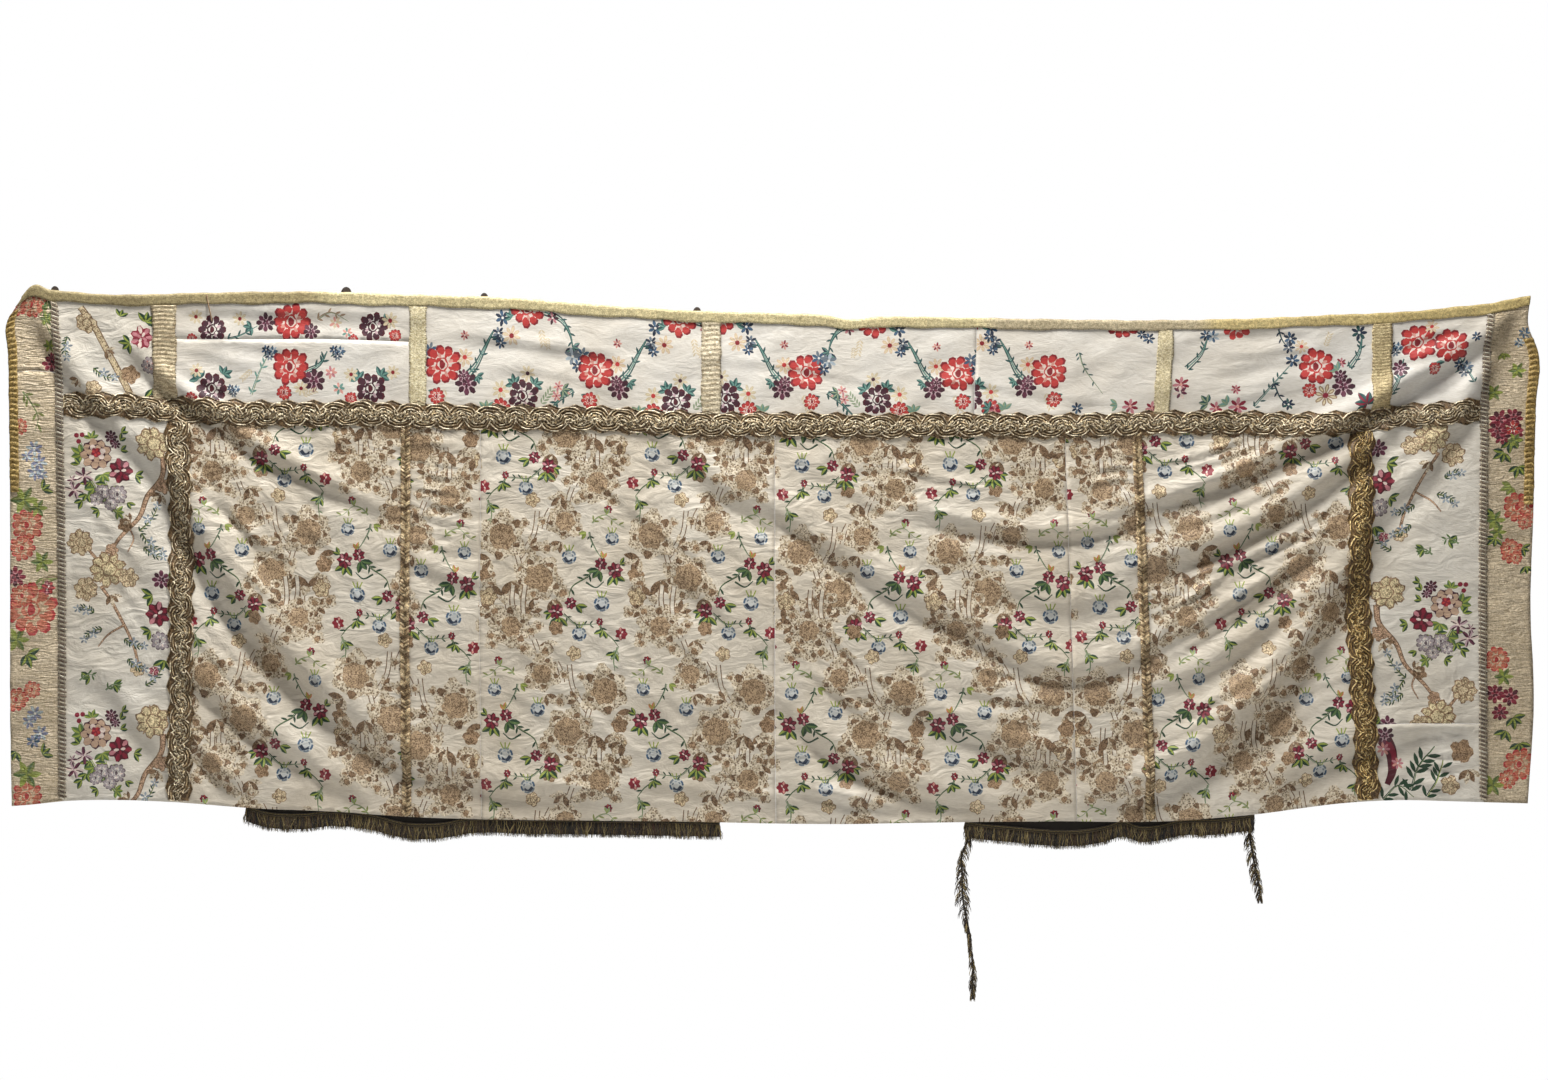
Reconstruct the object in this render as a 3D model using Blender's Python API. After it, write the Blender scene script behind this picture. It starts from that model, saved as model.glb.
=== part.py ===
"""Pieced brocade altar frontal, hanging from its top edge.

The frontal is sewn from rectangular panels of brocaded silk: a frontlet across the top, the field below
it, an orphrey at each side and a return panel at each edge. Gold lace, galloons and braids cover the
seams, a binding wraps the top edge, and a fringe hangs behind the hem, partly torn loose.

Every sheet follows one draped surface. A place on the cloth is (u, v): u metres from its left edge and
v metres down from its top edge. The surface is a grid of flat facets, and each piece keeps to those
facets, so that pieces lying on each other stay parallel. Metres, +Z up, the face looks along -Y.
"""

import math

import bpy
import numpy as np
from mathutils import Vector
from mathutils.geometry import delaunay_2d_cdt

# Driving dimensions
WIDTH = 2.800
DROP = 0.930
CLOTH_THICK = 0.0020
TRIM_THICK = 0.0018
LAYER_GAP = 0.0004
SEAM_GAP = 0.0004
BINDING_DEPTH = 0.017
LACE_CENTRE = 0.200
LACE_HALF = 0.0205
SCALLOP_DEPTH = 0.0050
SCALLOP_PITCH = 0.0480
GRID_STEP_U = 0.055
GRID_STEP_V = 0.053

# Seam places down the cloth
SPLIT_SEAM = 0.076
EDGE_SEAM = 0.143
FOOT_SEAM = 0.784

# Seam places across the cloth
EDGE_L, EDGE_R = 0.098, 2.710
FRONTLET_SEAMS = (0.290, 0.754, 1.292, 1.779, 2.126, 2.522)
FIELD_SEAMS = (0.315, 0.732, 0.869, 1.409, 1.949, 2.082, 2.487)

# Height of the top edge, the lace's centre line and the hem, at places across the cloth
# (u, top z, lace z, hem z)
LEVELS = (
    (0.000, 0.030, -0.163, -0.902),
    (0.030, 0.049, -0.164, -0.900),
    (0.100, 0.042, -0.165, -0.893),
    (0.210, 0.034, -0.167, -0.891),
    (0.310, 0.036, -0.176, -0.895),
    (0.450, 0.039, -0.183, -0.906),
    (0.595, 0.039, -0.183, -0.912),
    (0.741, 0.034, -0.187, -0.922),
    (0.906, 0.029, -0.190, -0.927),
    (1.089, 0.015, -0.194, -0.929),
    (1.272, 0.004, -0.201, -0.931),
    (1.400, 0.000, -0.203, -0.934),
    (1.500, -0.004, -0.204, -0.935),
    (1.546, -0.011, -0.205, -0.935),
    (1.600, -0.007, -0.204, -0.934),
    (1.729, -0.008, -0.203, -0.932),
    (1.912, -0.011, -0.205, -0.930),
    (2.095, -0.013, -0.199, -0.931),
    (2.278, -0.010, -0.199, -0.917),
    (2.461, -0.002, -0.199, -0.895),
    (2.553, 0.002, -0.188, -0.891),
    (2.644, 0.011, -0.181, -0.893),
    (2.718, 0.020, -0.174, -0.895),
    (2.800, 0.033, -0.168, -0.897),
)

# Sideways drift of the cloth's upright lines: a row for each line, a column for each height
DRIFT_V = (0.000, 0.050, 0.100, 0.200, 0.400, 0.560, 0.740, 0.930)
DRIFT = (
    (0.000, (0.026, -0.002, 0.001, 0.003, 0.005, 0.005, 0.005, 0.008)),
    (0.098, (-0.016, -0.010, -0.006, -0.003, 0.001, 0.003, 0.003, 0.003)),
    (0.315, (-0.002, -0.001, 0.000, 0.000, 0.003, 0.006, 0.003, 0.000)),
    (0.732, (0.000, 0.000, 0.000, 0.000, 0.000, -0.002, 0.000, 0.001)),
    (1.409, (0.000, 0.000, 0.000, 0.000, 0.000, 0.000, 0.000, 0.002)),
    (2.082, (0.000, 0.000, -0.004, -0.009, -0.002, 0.004, 0.011, 0.018)),
    (2.487, (0.000, 0.000, 0.000, -0.001, -0.003, -0.008, 0.002, 0.010)),
    (2.710, (0.016, 0.010, 0.006, 0.002, -0.001, -0.002, -0.002, 0.000)),
    (2.800, (-0.004, -0.008, 0.010, 0.006, 0.001, -0.004, 0.002, -0.009)),
)

# Folds, each a smooth line on the cloth whose crest lies above it and whose trough lies below it:
# (start u, v), (middle u, v), (end u, v), width across the slope, height of crest and of trough
FOLDS = (
    ((0.060, 0.060), (0.150, 0.190), (0.300, 0.350), 0.045, 0.007),
    ((0.290, 0.330), (0.470, 0.610), (0.735, 0.835), 0.082, 0.018),
    ((0.705, 0.810), (0.869, 0.868), (1.089, 0.894), 0.045, 0.007),
    ((0.335, 0.700), (0.476, 0.798), (0.630, 0.895), 0.040, 0.009),
    ((0.342, 0.825), (0.380, 0.865), (0.425, 0.895), 0.030, 0.005),
    ((0.370, 0.210), (0.503, 0.290), (0.670, 0.370), 0.032, 0.009),
    ((0.235, 0.110), (0.329, 0.180), (0.415, 0.205), 0.034, 0.008),
    ((0.170, 0.715), (0.229, 0.790), (0.290, 0.870), 0.045, 0.005),
    ((0.340, 0.024), (0.522, 0.034), (0.740, 0.042), 0.030, 0.003),
    ((0.735, 0.460), (0.814, 0.496), (0.890, 0.510), 0.030, 0.004),
    ((1.190, 0.228), (1.308, 0.319), (1.440, 0.385), 0.045, 0.008),
    ((1.150, 0.360), (1.235, 0.485), (1.340, 0.575), 0.050, 0.005),
    ((1.660, 0.362), (1.894, 0.402), (2.110, 0.378), 0.032, 0.010),
    ((2.020, 0.370), (2.242, 0.306), (2.440, 0.214), 0.034, 0.011),
    ((2.390, 0.232), (2.534, 0.165), (2.735, 0.050), 0.042, 0.013),
    ((2.090, 0.464), (2.297, 0.390), (2.535, 0.232), 0.040, 0.013),
    ((1.420, 0.358), (1.620, 0.502), (1.850, 0.615), 0.048, 0.011),
    ((1.800, 0.600), (1.931, 0.659), (2.090, 0.618), 0.040, 0.010),
    ((2.070, 0.622), (2.250, 0.540), (2.440, 0.415), 0.034, 0.006),
    ((2.110, 0.690), (2.242, 0.632), (2.395, 0.535), 0.034, 0.007),
    ((2.010, 0.890), (2.297, 0.730), (2.515, 0.400), 0.085, 0.020),
    ((2.325, 0.895), (2.443, 0.835), (2.640, 0.800), 0.055, 0.010),
    ((1.430, 0.722), (1.583, 0.837), (1.785, 0.902), 0.042, 0.011),
    ((1.595, 0.700), (1.803, 0.784), (1.960, 0.833), 0.046, 0.008),
    ((2.740, 0.070), (2.672, 0.213), (2.560, 0.360), 0.045, 0.008),
    ((1.437, 0.862), (1.546, 0.892), (1.645, 0.905), 0.028, 0.005),
    ((1.830, 0.500), (1.935, 0.535), (2.060, 0.500), 0.048, 0.005),
)
FOLD_SAMPLES = 24
BELLY = 0.012
TOP_HOLD = 0.035

# Panels: name, left u, right u, upper v, lower v, material
PANELS = (
    ("frontlet_a", EDGE_L, FRONTLET_SEAMS[0], 0.0, LACE_CENTRE, "orphrey_silk"),
    ("frontlet_b_upper", FRONTLET_SEAMS[0], FRONTLET_SEAMS[1], 0.0, SPLIT_SEAM, "frontlet_silk"),
    ("frontlet_b_lower", FRONTLET_SEAMS[0], FRONTLET_SEAMS[1], SPLIT_SEAM, LACE_CENTRE, "frontlet_silk"),
    ("frontlet_c", FRONTLET_SEAMS[1], FRONTLET_SEAMS[2], 0.0, LACE_CENTRE, "frontlet_silk"),
    ("frontlet_d", FRONTLET_SEAMS[2], FRONTLET_SEAMS[3], 0.0, LACE_CENTRE, "frontlet_silk"),
    ("frontlet_e", FRONTLET_SEAMS[3], FRONTLET_SEAMS[4], 0.0, LACE_CENTRE, "frontlet_silk"),
    ("frontlet_f", FRONTLET_SEAMS[4], FRONTLET_SEAMS[5], 0.0, LACE_CENTRE, "frontlet_silk"),
    ("frontlet_g", FRONTLET_SEAMS[5], EDGE_R, 0.0, LACE_CENTRE, "frontlet_silk"),
    ("orphrey_left", EDGE_L, FIELD_SEAMS[0], LACE_CENTRE, DROP, "orphrey_silk"),
    ("field_a", FIELD_SEAMS[0], FIELD_SEAMS[1], LACE_CENTRE, DROP, "field_silk"),
    ("field_b", FIELD_SEAMS[1], FIELD_SEAMS[2], LACE_CENTRE, DROP, "field_silk"),
    ("field_c", FIELD_SEAMS[2], FIELD_SEAMS[3], LACE_CENTRE, DROP, "field_silk"),
    ("field_d", FIELD_SEAMS[3], FIELD_SEAMS[4], LACE_CENTRE, DROP, "field_silk"),
    ("field_e", FIELD_SEAMS[4], FIELD_SEAMS[5], LACE_CENTRE, DROP, "field_silk"),
    ("field_f", FIELD_SEAMS[5], FIELD_SEAMS[6], LACE_CENTRE, DROP, "field_silk"),
    ("orphrey_right", FIELD_SEAMS[6], EDGE_R, LACE_CENTRE, FOOT_SEAM, "orphrey_silk"),
    ("orphrey_foot", FIELD_SEAMS[6], EDGE_R, FOOT_SEAM, DROP, "orphrey_silk"),
    ("edge_left_upper", 0.0, EDGE_L, 0.0, EDGE_SEAM, "edge_silk"),
    ("edge_left_lower", 0.0, EDGE_L, EDGE_SEAM, DROP, "edge_silk"),
    ("edge_right", EDGE_R, WIDTH, 0.0, DROP, "edge_silk"),
)

# Galloons on the frontlet: name, centre u, width
GALLOONS = (
    ("galloon_a", 0.290, 0.042),
    ("galloon_b", 0.754, 0.031),
    ("galloon_c", 1.292, 0.036),
    ("galloon_d", 2.126, 0.029),
    ("galloon_e", 2.522, 0.035),
)
LADDER_WIDTH = 0.0150
FIELD_BRAID_WIDTH = 0.0180
SIDE_LACE_HALF = 0.0200
GIMP_WIDTH = 0.0180
GIMP_L = (0.030, 0.360)
GIMP_R = (0.075, 0.380)
HEM_TURN = 0.0040

# Tabs whose tops show above the binding: name, centre u, width, height above the edge
TABS = (
    ("tab_a", 0.102, 0.016, 0.009),
    ("tab_b", 0.622, 0.020, 0.011),
    ("tab_c", 0.875, 0.015, 0.008),
    ("tab_d", 1.266, 0.015, 0.008),
)
TAB_TUCK = 0.010
TAB_THICK = 0.0016
TIE_TOP = (0.368, 0.0006)
TIE_FOOT = (0.377, 0.046)
TIE_WIDTH = 0.0034

# Fringe: where its heading hangs below the hem (u, distance under the hem)
FRINGE_L = (
    (0.437, -0.004),
    (0.470, 0.004),
    (0.540, 0.006),
    (0.595, -0.002),
    (0.665, 0.000),
    (0.730, 0.011),
    (0.790, 0.009),
    (0.845, -0.002),
    (0.960, -0.003),
    (1.306, -0.002),
)
FRINGE_R = (
    (1.7480, -0.002),
    (1.7750, 0.003),
    (1.8220, 0.008),
    (1.8790, 0.014),
    (1.9360, 0.017),
    (1.9750, 0.013),
    (2.0120, 0.004),
    (2.0270, -0.002),
    (2.0620, 0.008),
    (2.1000, 0.006),
    (2.1350, -0.001),
    (2.2000, 0.002),
    (2.2750, 0.000),
)
FRINGE_DEPTH = 0.031
HEADING_HALF = 0.0030
HEADING_THICK = 0.0026
LOCK_PITCH = 0.0115
LOCK_SPREAD = 0.72
LOCK_THICK = 0.0022

# Torn tails of the fringe: (z, centre x, half width of the whole tail)
TAIL_L = (
    (-0.925, 0.364, 0.006),
    (-0.963, 0.364, 0.007),
    (-0.993, 0.353, 0.010),
    (-1.032, 0.353, 0.013),
    (-1.076, 0.355, 0.014),
    (-1.105, 0.360, 0.006),
    (-1.140, 0.367, 0.004),
    (-1.164, 0.369, 0.004),
    (-1.201, 0.373, 0.008),
    (-1.238, 0.372, 0.006),
    (-1.258, 0.373, 0.003),
)
TAIL_R = (
    (-0.915, 0.879, 0.006),
    (-0.950, 0.880, 0.010),
    (-0.985, 0.886, 0.011),
    (-1.019, 0.892, 0.010),
    (-1.048, 0.898, 0.008),
    (-1.078, 0.902, 0.003),
)
TAIL_PITCH = 0.0125
TAIL_CORE_HALF = 0.0024
LOCK_SWAY = 0.0022
LOCK_STRAY = 0.0003

# Colours (linear) and roughness of each material
LOOKS = {
    "frontlet_silk": ((0.78, 0.72, 0.64), 0.55),
    "field_silk": ((0.70, 0.62, 0.50), 0.55),
    "orphrey_silk": ((0.76, 0.70, 0.61), 0.55),
    "edge_silk": ((0.60, 0.50, 0.34), 0.60),
    "gold_lace": ((0.34, 0.24, 0.14), 0.45),
    "pale_galloon": ((0.58, 0.50, 0.27), 0.50),
    "yellow_gimp": ((0.42, 0.32, 0.09), 0.60),
    "fringe_thread": ((0.09, 0.06, 0.03), 0.70),
    "dark_tape": ((0.08, 0.06, 0.05), 0.80),
}
MATERIAL_OF_TRIM = {
    "top_binding": "pale_galloon",
    "galloon_b": "pale_galloon",
    "galloon_d": "pale_galloon",
    "gimp_left": "yellow_gimp",
    "gimp_right": "yellow_gimp",
    "loose_tie": "pale_galloon",
}


def clear_scene():
    for obj in list(bpy.data.objects):
        bpy.data.objects.remove(obj)


def material(name):
    """The Principled material of that name, made on first use."""
    found = bpy.data.materials.get(name)
    if found:
        return found
    colour, roughness = LOOKS[name]
    made = bpy.data.materials.new(name)
    made.use_nodes = True
    shader = made.node_tree.nodes["Principled BSDF"]
    shader.inputs["Base Color"].default_value = (*colour, 1.0)
    shader.inputs["Roughness"].default_value = roughness
    shader.inputs["Metallic"].default_value = 0.35 if "lace" in name or "galloon" in name else 0.0
    return made


def smooth_table(places, values, at):
    """Values between the table's places, eased so that the line has no corners at them."""
    places = np.asarray(places, float)
    values = np.asarray(values, float)
    slopes = np.gradient(values, places)
    at = np.clip(at, places[0], places[-1])
    i = np.clip(np.searchsorted(places, at, side="right") - 1, 0, len(places) - 2)
    span = places[i + 1] - places[i]
    t = (at - places[i]) / span
    rise = t * t * (3 - 2 * t)
    lead = t * (1 - t) ** 2
    trail = -t * t * (1 - t)
    return (
        values[i] * (1 - rise)
        + values[i + 1] * rise
        + span * (slopes[i] * lead + slopes[i + 1] * trail)
    )


def drift(u, v):
    """How far sideways the cloth hangs from its flat place."""
    lines = np.array([row[0] for row in DRIFT])
    shifts = np.array([smooth_table(DRIFT_V, row[1], v) for row in DRIFT])
    i = np.clip(np.searchsorted(lines, u, side="right") - 1, 0, len(lines) - 2)
    t = (u - lines[i]) / (lines[i + 1] - lines[i])
    column = np.arange(len(u))
    return shifts[i, column] * (1 - t) + shifts[i + 1, column] * t


def fold_height(u, v, fold):
    """How far one fold lifts the cloth towards the front, at each place."""
    start, middle, end, width, height = fold
    t = np.linspace(0, 1, FOLD_SAMPLES)[:, None]
    a, m, b = (np.array(p) for p in (start, middle, end))
    control = 2 * m - (a + b) / 2
    line = (1 - t) ** 2 * a + 2 * t * (1 - t) * control + t**2 * b
    ahead = 2 * (1 - t) * (control - a) + 2 * t * (b - control)
    ahead /= np.linalg.norm(ahead, axis=1)[:, None]
    ahead *= np.where(ahead[:, :1] < 0, -1, 1)
    away = np.stack([u, v], axis=1)[:, None, :] - line[None]
    nearest = np.argmin((away**2).sum(axis=2), axis=1)
    pick = np.arange(len(u))
    offset = away[pick, nearest]
    along = ahead[nearest]
    below = along[:, 0] * offset[:, 1] - along[:, 1] * offset[:, 0]
    beyond = (offset * along).sum(axis=1)
    share = t[nearest, 0]
    s = below / (width / 2)
    taper = np.sin(np.pi * np.clip(0.12 + 0.76 * share, 0, 1))
    past_end = np.exp(-((beyond / width) ** 2))
    return -height * s * np.exp((1 - s * s) / 2) * taper * past_end


def drape(u, v):
    """Points of the cloth's front face."""
    u, v = np.broadcast_arrays(np.asarray(u, float), np.asarray(v, float))
    shape = u.shape
    u, v = u.ravel(), v.ravel()
    places = [row[0] for row in LEVELS]
    top, lace, hem = (smooth_table(places, [row[k] for row in LEVELS], u) for k in (1, 2, 3))
    in_frontlet = top + (lace - top) * v / LACE_CENTRE
    in_field = lace + (hem - lace) * (v - LACE_CENTRE) / (DROP - LACE_CENTRE)
    z = np.where(v < LACE_CENTRE, in_frontlet, in_field)
    lift = BELLY * np.sin(np.pi * u / WIDTH) * np.sin(np.pi * np.clip(v / DROP, 0, 1))
    for fold in FOLDS:
        lift = lift + fold_height(u, v, fold)
    held = np.clip(v / TOP_HOLD, 0, 1)
    lift = lift * held * held * (3 - 2 * held)
    x = u - WIDTH / 2 + drift(u, v)
    return np.stack([x, -lift, z], axis=1).reshape(*shape, 3)


def grid_lines(marks, step):
    """The marks with equal steps between them, none longer than step."""
    lines = [marks[0]]
    for a, b in zip(marks, marks[1:]):
        count = max(1, math.ceil((b - a) / step - 1e-9))
        lines += [a + (b - a) * k / count for k in range(1, count + 1)]
    return np.array(lines)


COLUMNS = grid_lines(sorted({0.0, EDGE_L, *FRONTLET_SEAMS, *FIELD_SEAMS, EDGE_R, WIDTH}), GRID_STEP_U)
ROWS = grid_lines([0.0, BINDING_DEPTH, SPLIT_SEAM, EDGE_SEAM, LACE_CENTRE, FOOT_SEAM, DROP], GRID_STEP_V)
POINTS = drape(COLUMNS[:, None], ROWS[None, :])
CENTRES = drape((COLUMNS[:-1, None] + COLUMNS[1:, None]) / 2, (ROWS[None, :-1] + ROWS[None, 1:]) / 2)
FALLING = np.linalg.norm((POINTS[:-1, :-1] + POINTS[1:, 1:]) / 2 - CENTRES, axis=2)
RISING = np.linalg.norm((POINTS[:-1, 1:] + POINTS[1:, :-1]) / 2 - CENTRES, axis=2)
FALLS = FALLING <= RISING


def cell_of(lines, place):
    return int(np.clip(np.searchsorted(lines, place, side="right") - 1, 0, len(lines) - 2))


def on_facets(u, v):
    """The point of the facet at a place on the cloth."""
    i, j = cell_of(COLUMNS, u), cell_of(ROWS, v)
    s = (u - COLUMNS[i]) / (COLUMNS[i + 1] - COLUMNS[i])
    t = (v - ROWS[j]) / (ROWS[j + 1] - ROWS[j])
    p00, p10, p01, p11 = POINTS[i, j], POINTS[i + 1, j], POINTS[i, j + 1], POINTS[i + 1, j + 1]
    if FALLS[i, j]:
        if s >= t:
            return p00 + s * (p10 - p00) + t * (p11 - p10)
        return p00 + t * (p01 - p00) + s * (p11 - p01)
    if s + t <= 1:
        return p00 + s * (p10 - p00) + t * (p01 - p00)
    return p11 + (1 - s) * (p01 - p11) + (1 - t) * (p10 - p11)


def add_solid(name, points, faces, material_name, collection):
    mesh = bpy.data.meshes.new(name)
    mesh.from_pydata([tuple(p) for p in points], [], faces)
    mesh.materials.append(material(material_name))
    obj = bpy.data.objects.new(name, mesh)
    collection.objects.link(obj)
    return obj


def sheet(name, front, triangles, thickness, material_name, collection):
    """A closed sheet: its front triangles, the same ones behind them, and walls round every rim."""
    count = len(front)
    back = [p + np.array([0, thickness, 0]) for p in front]
    directed = {(t[k], t[(k + 1) % 3]) for t in triangles for k in range(3)}
    rim = [(a, b) for a, b in directed if (b, a) not in directed]
    faces = [list(t) for t in triangles]
    faces += [[t[0] + count, t[2] + count, t[1] + count] for t in triangles]
    faces += [[b, a, a + count, b + count] for a, b in sorted(rim)]
    return add_solid(name, list(front) + back, faces, material_name, collection)


def panel(name, left, right, upper, lower, material_name, collection):
    """A panel of whole grid cells, drawn in a little where another panel meets it."""
    columns = [i for i, u in enumerate(COLUMNS) if left - 1e-9 <= u <= right + 1e-9]
    rows = [j for j, v in enumerate(ROWS) if upper - 1e-9 <= v <= lower + 1e-9]
    index = {(i, j): n for n, (i, j) in enumerate((i, j) for i in columns for j in rows)}
    front = []
    for i, j in index:
        inset_x = SEAM_GAP / 2 * ((i == columns[0] and left > 0) - (i == columns[-1] and right < WIDTH))
        inset_z = SEAM_GAP / 2 * ((j == rows[-1] and lower < DROP) - (j == rows[0] and upper > 0))
        front.append(POINTS[i, j] + np.array([inset_x, 0, inset_z]))
    triangles = []
    for i in columns[:-1]:
        for j in rows[:-1]:
            a, b = index[i, j], index[i + 1, j]
            d, c = index[i, j + 1], index[i + 1, j + 1]
            triangles += [(a, d, c), (a, c, b)] if FALLS[i, j] else [(a, d, b), (b, d, c)]
    return sheet(name, front, triangles, CLOTH_THICK, material_name, collection)


def facet_edges(lowest, highest):
    """The grid's points and edges, diagonals too, round the stretch of cloth between two corners."""
    first_i, last_i = cell_of(COLUMNS, lowest[0]), cell_of(COLUMNS, highest[0]) + 1
    first_j, last_j = cell_of(ROWS, lowest[1]), cell_of(ROWS, highest[1]) + 1
    span_j = last_j - first_j + 1
    places = [
        Vector((COLUMNS[i], ROWS[j]))
        for i in range(first_i, last_i + 1)
        for j in range(first_j, last_j + 1)
    ]
    edges = []
    for i in range(first_i, last_i + 1):
        for j in range(first_j, last_j + 1):
            here = (i - first_i) * span_j + j - first_j
            if i < last_i:
                edges.append((here, here + span_j))
            if j < last_j:
                edges.append((here, here + 1))
            if i < last_i and j < last_j:
                falling = (here, here + span_j + 1)
                rising = (here + 1, here + span_j)
                edges.append(falling if FALLS[i, j] else rising)
    return places, edges


def trim(name, outline, collection, lift=LAYER_GAP, thickness=TRIM_THICK):
    """A flat trim of that outline, cut along the cloth's facets and laid in front of them."""
    us, vs = zip(*outline)
    turn = sum(a[0] * b[1] - b[0] * a[1] for a, b in zip(outline, outline[1:] + outline[:1]))
    if turn < 0:
        outline = outline[::-1]
    places, edges = facet_edges((min(us), min(vs)), (max(us), max(vs)))
    count = len(places)
    places += [Vector(p) for p in outline]
    ring = list(range(count, count + len(outline)))
    found = delaunay_2d_cdt(places, edges, [ring], 1, 1e-6)
    verts, triangles, inside = found[0], found[2], found[5]
    kept = [t for t, owners in zip(triangles, inside) if owners]
    used = sorted({n for t in kept for n in t})
    number = {n: k for k, n in enumerate(used)}
    forward = np.array([0, -(lift + thickness), 0])
    front = [on_facets(*verts[n]) + forward for n in used]
    turned = []
    for t in kept:
        a, b, c = (verts[n] for n in t)
        ids = tuple(number[n] for n in t)
        area = (b - a).cross(c - a)
        turned.append(ids[::-1] if area > 0 else ids)
    name_of_material = MATERIAL_OF_TRIM.get(name, "gold_lace")
    return sheet(name, front, turned, thickness, name_of_material, collection)


def scallops(start, end):
    """Places along a scalloped edge and how far each stands in from the crest line."""
    count = round((end - start) / SCALLOP_PITCH)
    pitch = (end - start) / count
    bumps = ((0.0, SCALLOP_DEPTH), (0.27, 0.0), (0.73, 0.0))
    points = [(start + (k + share) * pitch, inset) for k in range(count) for share, inset in bumps]
    return points + [(end, SCALLOP_DEPTH)]


def cross_lace_edge(lower):
    """The cross lace's upper or lower edge, from left to right."""
    left = EDGE_L + LADDER_WIDTH / 2 + SEAM_GAP
    right = EDGE_R - LADDER_WIDTH / 2 - SEAM_GAP
    side = 1 if lower else -1
    return [(u, LACE_CENTRE + side * (LACE_HALF - inset)) for u, inset in scallops(left, right)]


def stretch(edge, left, right, shift):
    """The part of an edge between two places, moved down by shift."""
    us, vs = zip(*edge)
    ends = [(u, float(np.interp(u, us, vs)) + shift) for u in (left, right)]
    within = [(u, v + shift) for u, v in edge if left < u < right]
    return [ends[0], *within, ends[1]]


def add_trims(collection):
    upper, lower = cross_lace_edge(False), cross_lace_edge(True)
    trim("cross_lace", upper + lower[::-1], collection)
    for name, centre, width in GALLOONS:
        left, right = centre - width / 2, centre + width / 2
        foot = stretch(upper, left, right, -SEAM_GAP)
        head = [(right, BINDING_DEPTH + SEAM_GAP), (left, BINDING_DEPTH + SEAM_GAP)]
        trim(name, foot + head, collection)
    for name, centre in (("side_lace_left", FIELD_SEAMS[0]), ("side_lace_right", FIELD_SEAMS[6])):
        inner = SIDE_LACE_HALF - SCALLOP_DEPTH
        head = stretch(lower, centre - inner, centre + inner, SEAM_GAP)
        start = max(v for _, v in head) + SCALLOP_PITCH / 8
        side = scallops(start, DROP - HEM_TURN)
        right_side = [(centre + SIDE_LACE_HALF - inset, v) for v, inset in side]
        left_side = [(centre - SIDE_LACE_HALF + inset, v) for v, inset in side]
        trim(name, head + right_side + left_side[::-1], collection)
    for name, centre in (("field_braid_left", FIELD_SEAMS[1]), ("field_braid_right", FIELD_SEAMS[5])):
        left, right = centre - FIELD_BRAID_WIDTH / 2, centre + FIELD_BRAID_WIDTH / 2
        head = stretch(lower, left, right, SEAM_GAP)
        trim(name, head + [(right, DROP - HEM_TURN), (left, DROP - HEM_TURN)], collection)
    for name, centre in (("ladder_braid_left", EDGE_L), ("ladder_braid_right", EDGE_R)):
        left, right = centre - LADDER_WIDTH / 2, centre + LADDER_WIDTH / 2
        top, foot = BINDING_DEPTH + SEAM_GAP, DROP - HEM_TURN
        trim(name, [(left, top), (right, top), (right, foot), (left, foot)], collection)
    for name, left, (top, foot) in (
        ("gimp_left", 0.0004, GIMP_L),
        ("gimp_right", WIDTH - GIMP_WIDTH - 0.0004, GIMP_R),
    ):
        right = left + GIMP_WIDTH
        trim(name, [(left, top), (right, top), (right, foot), (left, foot)], collection)
    over_binding = 2 * LAYER_GAP + TRIM_THICK
    (top_u, top_v), (foot_u, foot_v) = TIE_TOP, TIE_FOOT
    half = TIE_WIDTH / 2
    tie = [(top_u - half, top_v), (top_u + half, top_v), (foot_u + half, foot_v), (foot_u - half, foot_v)]
    trim("loose_tie", tie, collection, lift=over_binding, thickness=0.0012)


def add_binding(collection):
    """The binding folded over the top edge: a leg in front, a leg behind and the turn between them."""
    foot = int(np.argmin(abs(ROWS - BINDING_DEPTH)))
    near_front = -LAYER_GAP
    near_back = CLOTH_THICK + LAYER_GAP
    section = (
        (0, near_front, LAYER_GAP),
        (0, near_back, LAYER_GAP),
        (foot, near_back, 0.0),
        (foot, near_back + TRIM_THICK, 0.0),
        (0, near_back + TRIM_THICK, LAYER_GAP + TRIM_THICK),
        (0, near_front - TRIM_THICK, LAYER_GAP + TRIM_THICK),
        (foot, near_front - TRIM_THICK, 0.0),
        (foot, near_front, 0.0),
    )
    size = len(section)
    points = [
        POINTS[i, j] + np.array([0, away, rise])
        for i in range(len(COLUMNS))
        for j, away, rise in section
    ]
    faces = []
    for i in range(len(COLUMNS) - 1):
        for k in range(size):
            a, b = i * size + k, i * size + (k + 1) % size
            c, d = b + size, a + size
            rises = section[k][0] > section[(k + 1) % size][0]
            falls = section[k][0] < section[(k + 1) % size][0]
            # On a leg, the split follows the facet behind it
            if (falls and FALLS[i, 0]) or (rises and not FALLS[i, 0]):
                faces += [[a, b, c], [a, c, d]]
            else:
                faces += [[a, b, d], [b, c, d]]
    last = (len(COLUMNS) - 1) * size
    faces.append(list(range(size))[::-1])
    faces.append([last + k for k in range(size)])
    add_solid("top_binding", points, faces, "pale_galloon", collection)


def behind_hem(u):
    """A y just clear of the cloth's back at the hem, for a piece that reaches a little to each side."""
    reach = np.linspace(-LOCK_PITCH * 1.5, LOCK_PITCH * 1.5, 9)
    heights = (DROP, DROP - HEM_TURN * 2)
    near = [on_facets(np.clip(u + r, 0, WIDTH), v)[1] for r in reach for v in heights]
    return max(near) + CLOTH_THICK + LAYER_GAP + HEADING_THICK / 2


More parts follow.
